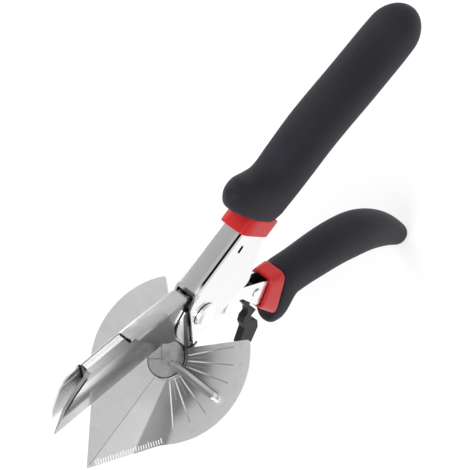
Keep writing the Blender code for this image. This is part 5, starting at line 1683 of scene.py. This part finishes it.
@dataclass
class PivotSet:
    """Bolt, washer, nut and bush on the levers' axis, and the opening spring."""

    bolt_radius: float = 2.5 * MM
    head_radius: float = 4.9 * MM
    head_base: float = 5.1 * MM
    head_height: float = 1.6 * MM
    rim_share: float = 0.45
    end: float = 8.6 * MM
    end_chamfer: float = 0.2 * MM
    washer_radius: float = 5.4 * MM
    washer_thickness: float = 0.5 * MM
    bush_half: float = 1.4 * MM
    bush_wall: float = 0.6 * MM
    washer_edge: float = 0.12 * MM
    bush_edge: float = 0.1 * MM
    nut_edge: float = 0.25 * MM
    wire: float = 0.4 * MM
    spring_turns: float = 1.6
    spring_pitch: float = 1.28 * MM
    spring_leg: float = 6.0 * MM
    spring_start: float = math.radians(150.0)

    def build_bolt(self) -> Object:
        """The bolt: a flattened dome on a short rim, and a plain shank."""
        rim = self.head_base + self.head_height * self.rim_share
        head = dome_profile(self.head_radius, self.head_base, rim, self.head_base + self.head_height, 20)
        cut = self.end_chamfer
        shank = np.array([(self.bolt_radius, self.head_base), (self.bolt_radius, cut - self.end),
                          (self.bolt_radius - cut, -self.end), (0.0, -self.end)])
        return turned("pivot_bolt_turned", np.vstack([head, shank]), PIVOT, TurningAxis.NEAR, 96)

    def build_spring(self) -> Object:
        """The spring: a helix round the bolt with a straight leg from each end, along its heading."""
        radius = self.bolt_radius + 2 * GAP + self.bush_wall + self.wire
        share = np.linspace(0.0, 1.0, 90)
        angle = self.spring_start + 2 * math.pi * self.spring_turns * share
        across = (share - 0.5) * self.spring_turns * self.spring_pitch
        coil = np.stack([radius * np.cos(angle), across, radius * np.sin(angle)], axis=-1) + PIVOT
        first = (coil[0] - coil[1]) * np.array((1.0, 0.0, 1.0))
        last = (coil[-1] - coil[-2]) * np.array((1.0, 0.0, 1.0))
        reach = np.linspace(self.spring_leg, 0.3 * MM, 10)[:, None]
        start = coil[0] + first / np.linalg.norm(first) * reach
        end = coil[-1] + last / np.linalg.norm(last) * reach[::-1]
        return tube("torsion_spring_wire", np.vstack([start, coil, end]), self.wire)

    def build(self) -> None:
        """Make and dress the pivot's pieces."""
        fit_piece(self.build_bolt(), "pivot_bolt", TURNED_STEEL.material("bolt steel"))
        far, inner = self.head_base, self.bolt_radius + GAP
        profile = bush_profile(inner, self.washer_radius, -far - self.washer_thickness, -far,
                               self.washer_edge)
        washer = turned("pivot_washer_ring", profile, PIVOT, TurningAxis.NEAR)
        fit_piece(washer, "pivot_washer", TURNED_STEEL.material("washer steel"))
        nut = merged_copy("pivot_nut", "pivot_nut_hexagon", self.nut_edge)
        fit_piece(nut, "pivot_nut", TURNED_STEEL.material("nut steel"))
        profile = bush_profile(inner, inner + self.bush_wall, -self.bush_half, self.bush_half,
                               self.bush_edge)
        bush = turned("pivot_bush_ring", profile, PIVOT, TurningAxis.NEAR)
        fit_piece(bush, "pivot_bush", TURNED_STEEL.material("bush steel"))
        fit_piece(self.build_spring(), "torsion_spring", SPRING_STEEL.material("spring steel"))


@dataclass
class BladeSide:
    """The jaw and lower handle in one pressing, with the blade, its spacer and its screws."""

    screw_radius: float = 1.2 * MM
    screw_head: float = 2.2 * MM
    screw_rim: float = 0.45 * MM
    screw_crown: float = 0.9 * MM
    screw_face: float = 3.9 * MM
    screw_tip: float = -1.4 * MM
    screw_first: float = 21.5 * MM
    screw_pitch: float = 20.0 * MM
    screw_rise: float = 6.2 * MM
    spacer_faces: tuple = (0.05 * MM, 2.75 * MM)
    spacer_edge: float = 0.05 * MM
    blade_edge: float = 0.06 * MM
    pressing_sharp: float = 36.0

    def build_screw(self, name: str, along: float) -> Object:
        """A blade screw from the far side: a low dome and a plain stem.

        Args:
            name: the piece's name.
            along: its distance from the pivot along the jaw.

        Returns:
            The new object.
        """
        centre = PIVOT + JAW_LINE * along + JAW_RISE * self.screw_rise
        face, tip = self.screw_face, self.screw_tip
        head = dome_profile(self.screw_head, face, face + self.screw_rim, face + self.screw_crown, 12)
        stem = np.array([(self.screw_radius, face), (self.screw_radius, tip), (0.0, tip)])
        profile = np.vstack([head, stem]) * np.array((1.0, -1.0))
        return turned(name, profile, centre, TurningAxis.NEAR, 48)

    def build(self) -> None:
        """Make and dress the blade side's pieces."""
        lever = merged_copy("blade_lever", "blade_lever_pressing", sharp=self.pressing_sharp)
        fit_piece(lever, "blade_lever", JAW_STEEL.material("jaw steel", JAW_PAINTED_LIGHT))
        blade = merged_copy("blade", "blade_steel", self.blade_edge)
        fit_piece(blade, "blade", BLADE_STEEL.material("blade steel", BLADE_PAINTED_SHADE))
        spacer = merged_copy("blade_spacer", "blade_spacer_block", self.spacer_edge)
        widen(spacer, *self.spacer_faces)
        fit_piece(spacer, "blade_spacer", JAW_STEEL.material("spacer steel"))
        for word, along in (("rear", self.screw_first), ("front", self.screw_first + self.screw_pitch)):
            screw = self.build_screw(f"blade_screw_{word}_turned", along)
            fit_piece(screw, f"blade_screw_{word}", TURNED_STEEL.material(f"screw steel {word}"))


@dataclass
class SafetyLatch:
    """The black catch in the lower handle and the pin that it swings on."""

    pin_along: float = 31.0 * MM
    pin_front: float = -1.4 * MM
    pin_radius: float = 1.0 * MM
    head_radius: float = 1.9 * MM
    head_rim: float = 0.2 * MM
    head_height: float = 0.7 * MM
    face: float = 3.9 * MM
    edge: float = 0.30 * MM

    def build(self) -> None:
        """Make and dress the catch and its pin."""
        catch = merged_copy("safety_latch", "safety_latch_catch", self.edge)
        fit_piece(catch, "safety_latch", BLACK.material("latch black"))
        centre = PIVOT + HANDLE_LINE * self.pin_along + HANDLE_FRONT * self.pin_front
        face = self.face
        near = dome_profile(self.head_radius, face, face + self.head_rim, face + self.head_height, 12)
        stem = np.array([(self.pin_radius, face), (self.pin_radius, -face)])
        far = near[::-1] * np.array((1.0, -1.0))
        pin = turned("latch_pin_turned", np.vstack([near, stem, far]), centre, TurningAxis.NEAR, 48)
        fit_piece(pin, "latch_pin", PIN_STEEL.material("latch pin steel"))


# Studio

@dataclass
class Studio:
    """Pale floor, soft light from all round and the camera."""

    camera_place: Triple = (0.0361, -0.2726, 0.5338)
    camera_up: Triple = (0.8018, 0.5204, 0.2938)
    camera_back: Triple = (-0.0231, -0.4643, 0.8854)
    lens: float = 128.5
    floor_half: float = 3.0
    floor_drop: float = 0.4 * MM
    floor_tones: tuple = ((0.56, 0.56, 0.56), (0.58, 0.58, 0.58))
    floor_cloud: float = 3.0
    floor_roughness: float = 0.9
    floor_gloss: float = 0.1
    floor_glow: float = 0.47
    lamps: tuple = (("key", (-0.55, -0.25, 0.75), 0.55, 5.0), ("side", (0.35, 0.75, 0.45), 0.60, 3.0))
    lamp_aim: Triple = (0.03, 0.0, -0.02)
    sky: tuple = ((0.0, 1.0), (0.49, 1.0), (0.52, 0.90), (0.70, 0.82), (0.80, 0.72), (0.90, 0.56),
                  (1.0, 0.52))
    near_tone: Triple = (0.66, 0.66, 0.66)
    near_place: tuple = (-0.50, -0.15)
    near_bottom: tuple = (0.0, 0.05)
    near_top: tuple = (0.62, 0.76)
    lamp_tone: Triple = (1.15, 1.15, 1.15)
    lamp_bottom: tuple = (0.80, 0.88)
    lamp_place: tuple = (-0.16, 0.0)

    def build_camera(self) -> None:
        """The camera, square to its two given directions."""
        back = Vector(self.camera_back).normalized()
        right = Vector(self.camera_up).cross(back).normalized()
        turn = Matrix((right, back.cross(right), back)).transposed()
        data = bpy.data.cameras.new("camera")
        data.lens, data.sensor_width = self.lens, 36.0
        data.clip_start, data.clip_end = 0.01, 20.0
        camera = bpy.data.objects.new("camera", data)
        camera.matrix_world = Matrix.Translation(self.camera_place) @ turn.to_4x4()
        bpy.context.scene.collection.objects.link(camera)
        bpy.context.scene.camera = camera

    def build_floor(self) -> None:
        """A wide pale floor just below the lowest point."""
        low, half = CAD_BOX[0][2] - self.floor_drop, self.floor_half
        mesh = bpy.data.meshes.new("floor")
        corners = [(-half, -half, low), (half, -half, low), (half, half, low), (-half, half, low)]
        mesh.from_pydata(corners, [], [(0, 1, 2, 3)])
        floor = link("floor", mesh)
        dress = Dressing("floor white")
        cloud = dress.wiring.noise(dress.wiring.place(), self.floor_cloud)
        dress.feed({"Base Color": dress.wiring.blend(cloud, *self.floor_tones),
                    "Roughness": self.floor_roughness, "Specular IOR Level": self.floor_gloss,
                    "Emission Color": (1.0, 1.0, 1.0), "Emission Strength": self.floor_glow})
        floor.data.materials.append(dress.material)

    def build_world(self) -> None:
        """Soft light by direction: white low down, grey overhead and near, and a lamp above that."""
        world = bpy.data.worlds.new("studio")
        world.use_nodes = True
        world.node_tree.nodes.clear()
        wiring = Wiring(world.node_tree)
        _, away, height = wiring.split(wiring.result("ShaderNodeTexCoord", output="Generated"))
        colour = wiring.ramp(height * 0.5 + 0.5, self.sky)
        strip = height.rises(*self.near_bottom) * height.falls(*self.near_top)
        colour = wiring.blend(strip * away.falls(*self.near_place), colour, self.near_tone)
        overhead = height.rises(*self.lamp_bottom) * away.falls(*self.lamp_place)
        colour = wiring.blend(overhead, colour, self.lamp_tone)
        background = wiring.result("ShaderNodeBackground", {"Color": colour})
        wiring.fed("ShaderNodeOutputWorld", {"Surface": background})
        bpy.context.scene.world = world

    def build_lamps(self) -> None:
        """Large soft lamps that look at the shears."""
        for name, place, size, power in self.lamps:
            data = bpy.data.lights.new(name, "AREA")
            data.size, data.energy = size, power
            lamp = bpy.data.objects.new(name, data)
            aim = (Vector(place) - Vector(self.lamp_aim)).to_track_quat("Z", "Y")
            lamp.matrix_world = Matrix.Translation(place) @ aim.to_matrix().to_4x4()
            bpy.context.scene.collection.objects.link(lamp)

    def build(self) -> None:
        """Set up the studio."""
        self.build_camera()
        self.build_floor()
        self.build_world()
        self.build_lamps()
        bpy.context.scene.view_settings.view_transform = "Standard"
        LOG.info("studio with %d lamps", len(self.lamps))


def main() -> None:
    """Build the studio and every sub-assembly."""
    Studio().build()
    for assembly in (AnvilLever(), AnglePlate(), Turntable(), PivotSet(), BladeSide(), UpperHandle(),
                     LowerHandle(), SafetyLatch()):
        assembly.build()
        LOG.info("built %s", type(assembly).__name__)


if __name__ == "__main__":
    main()
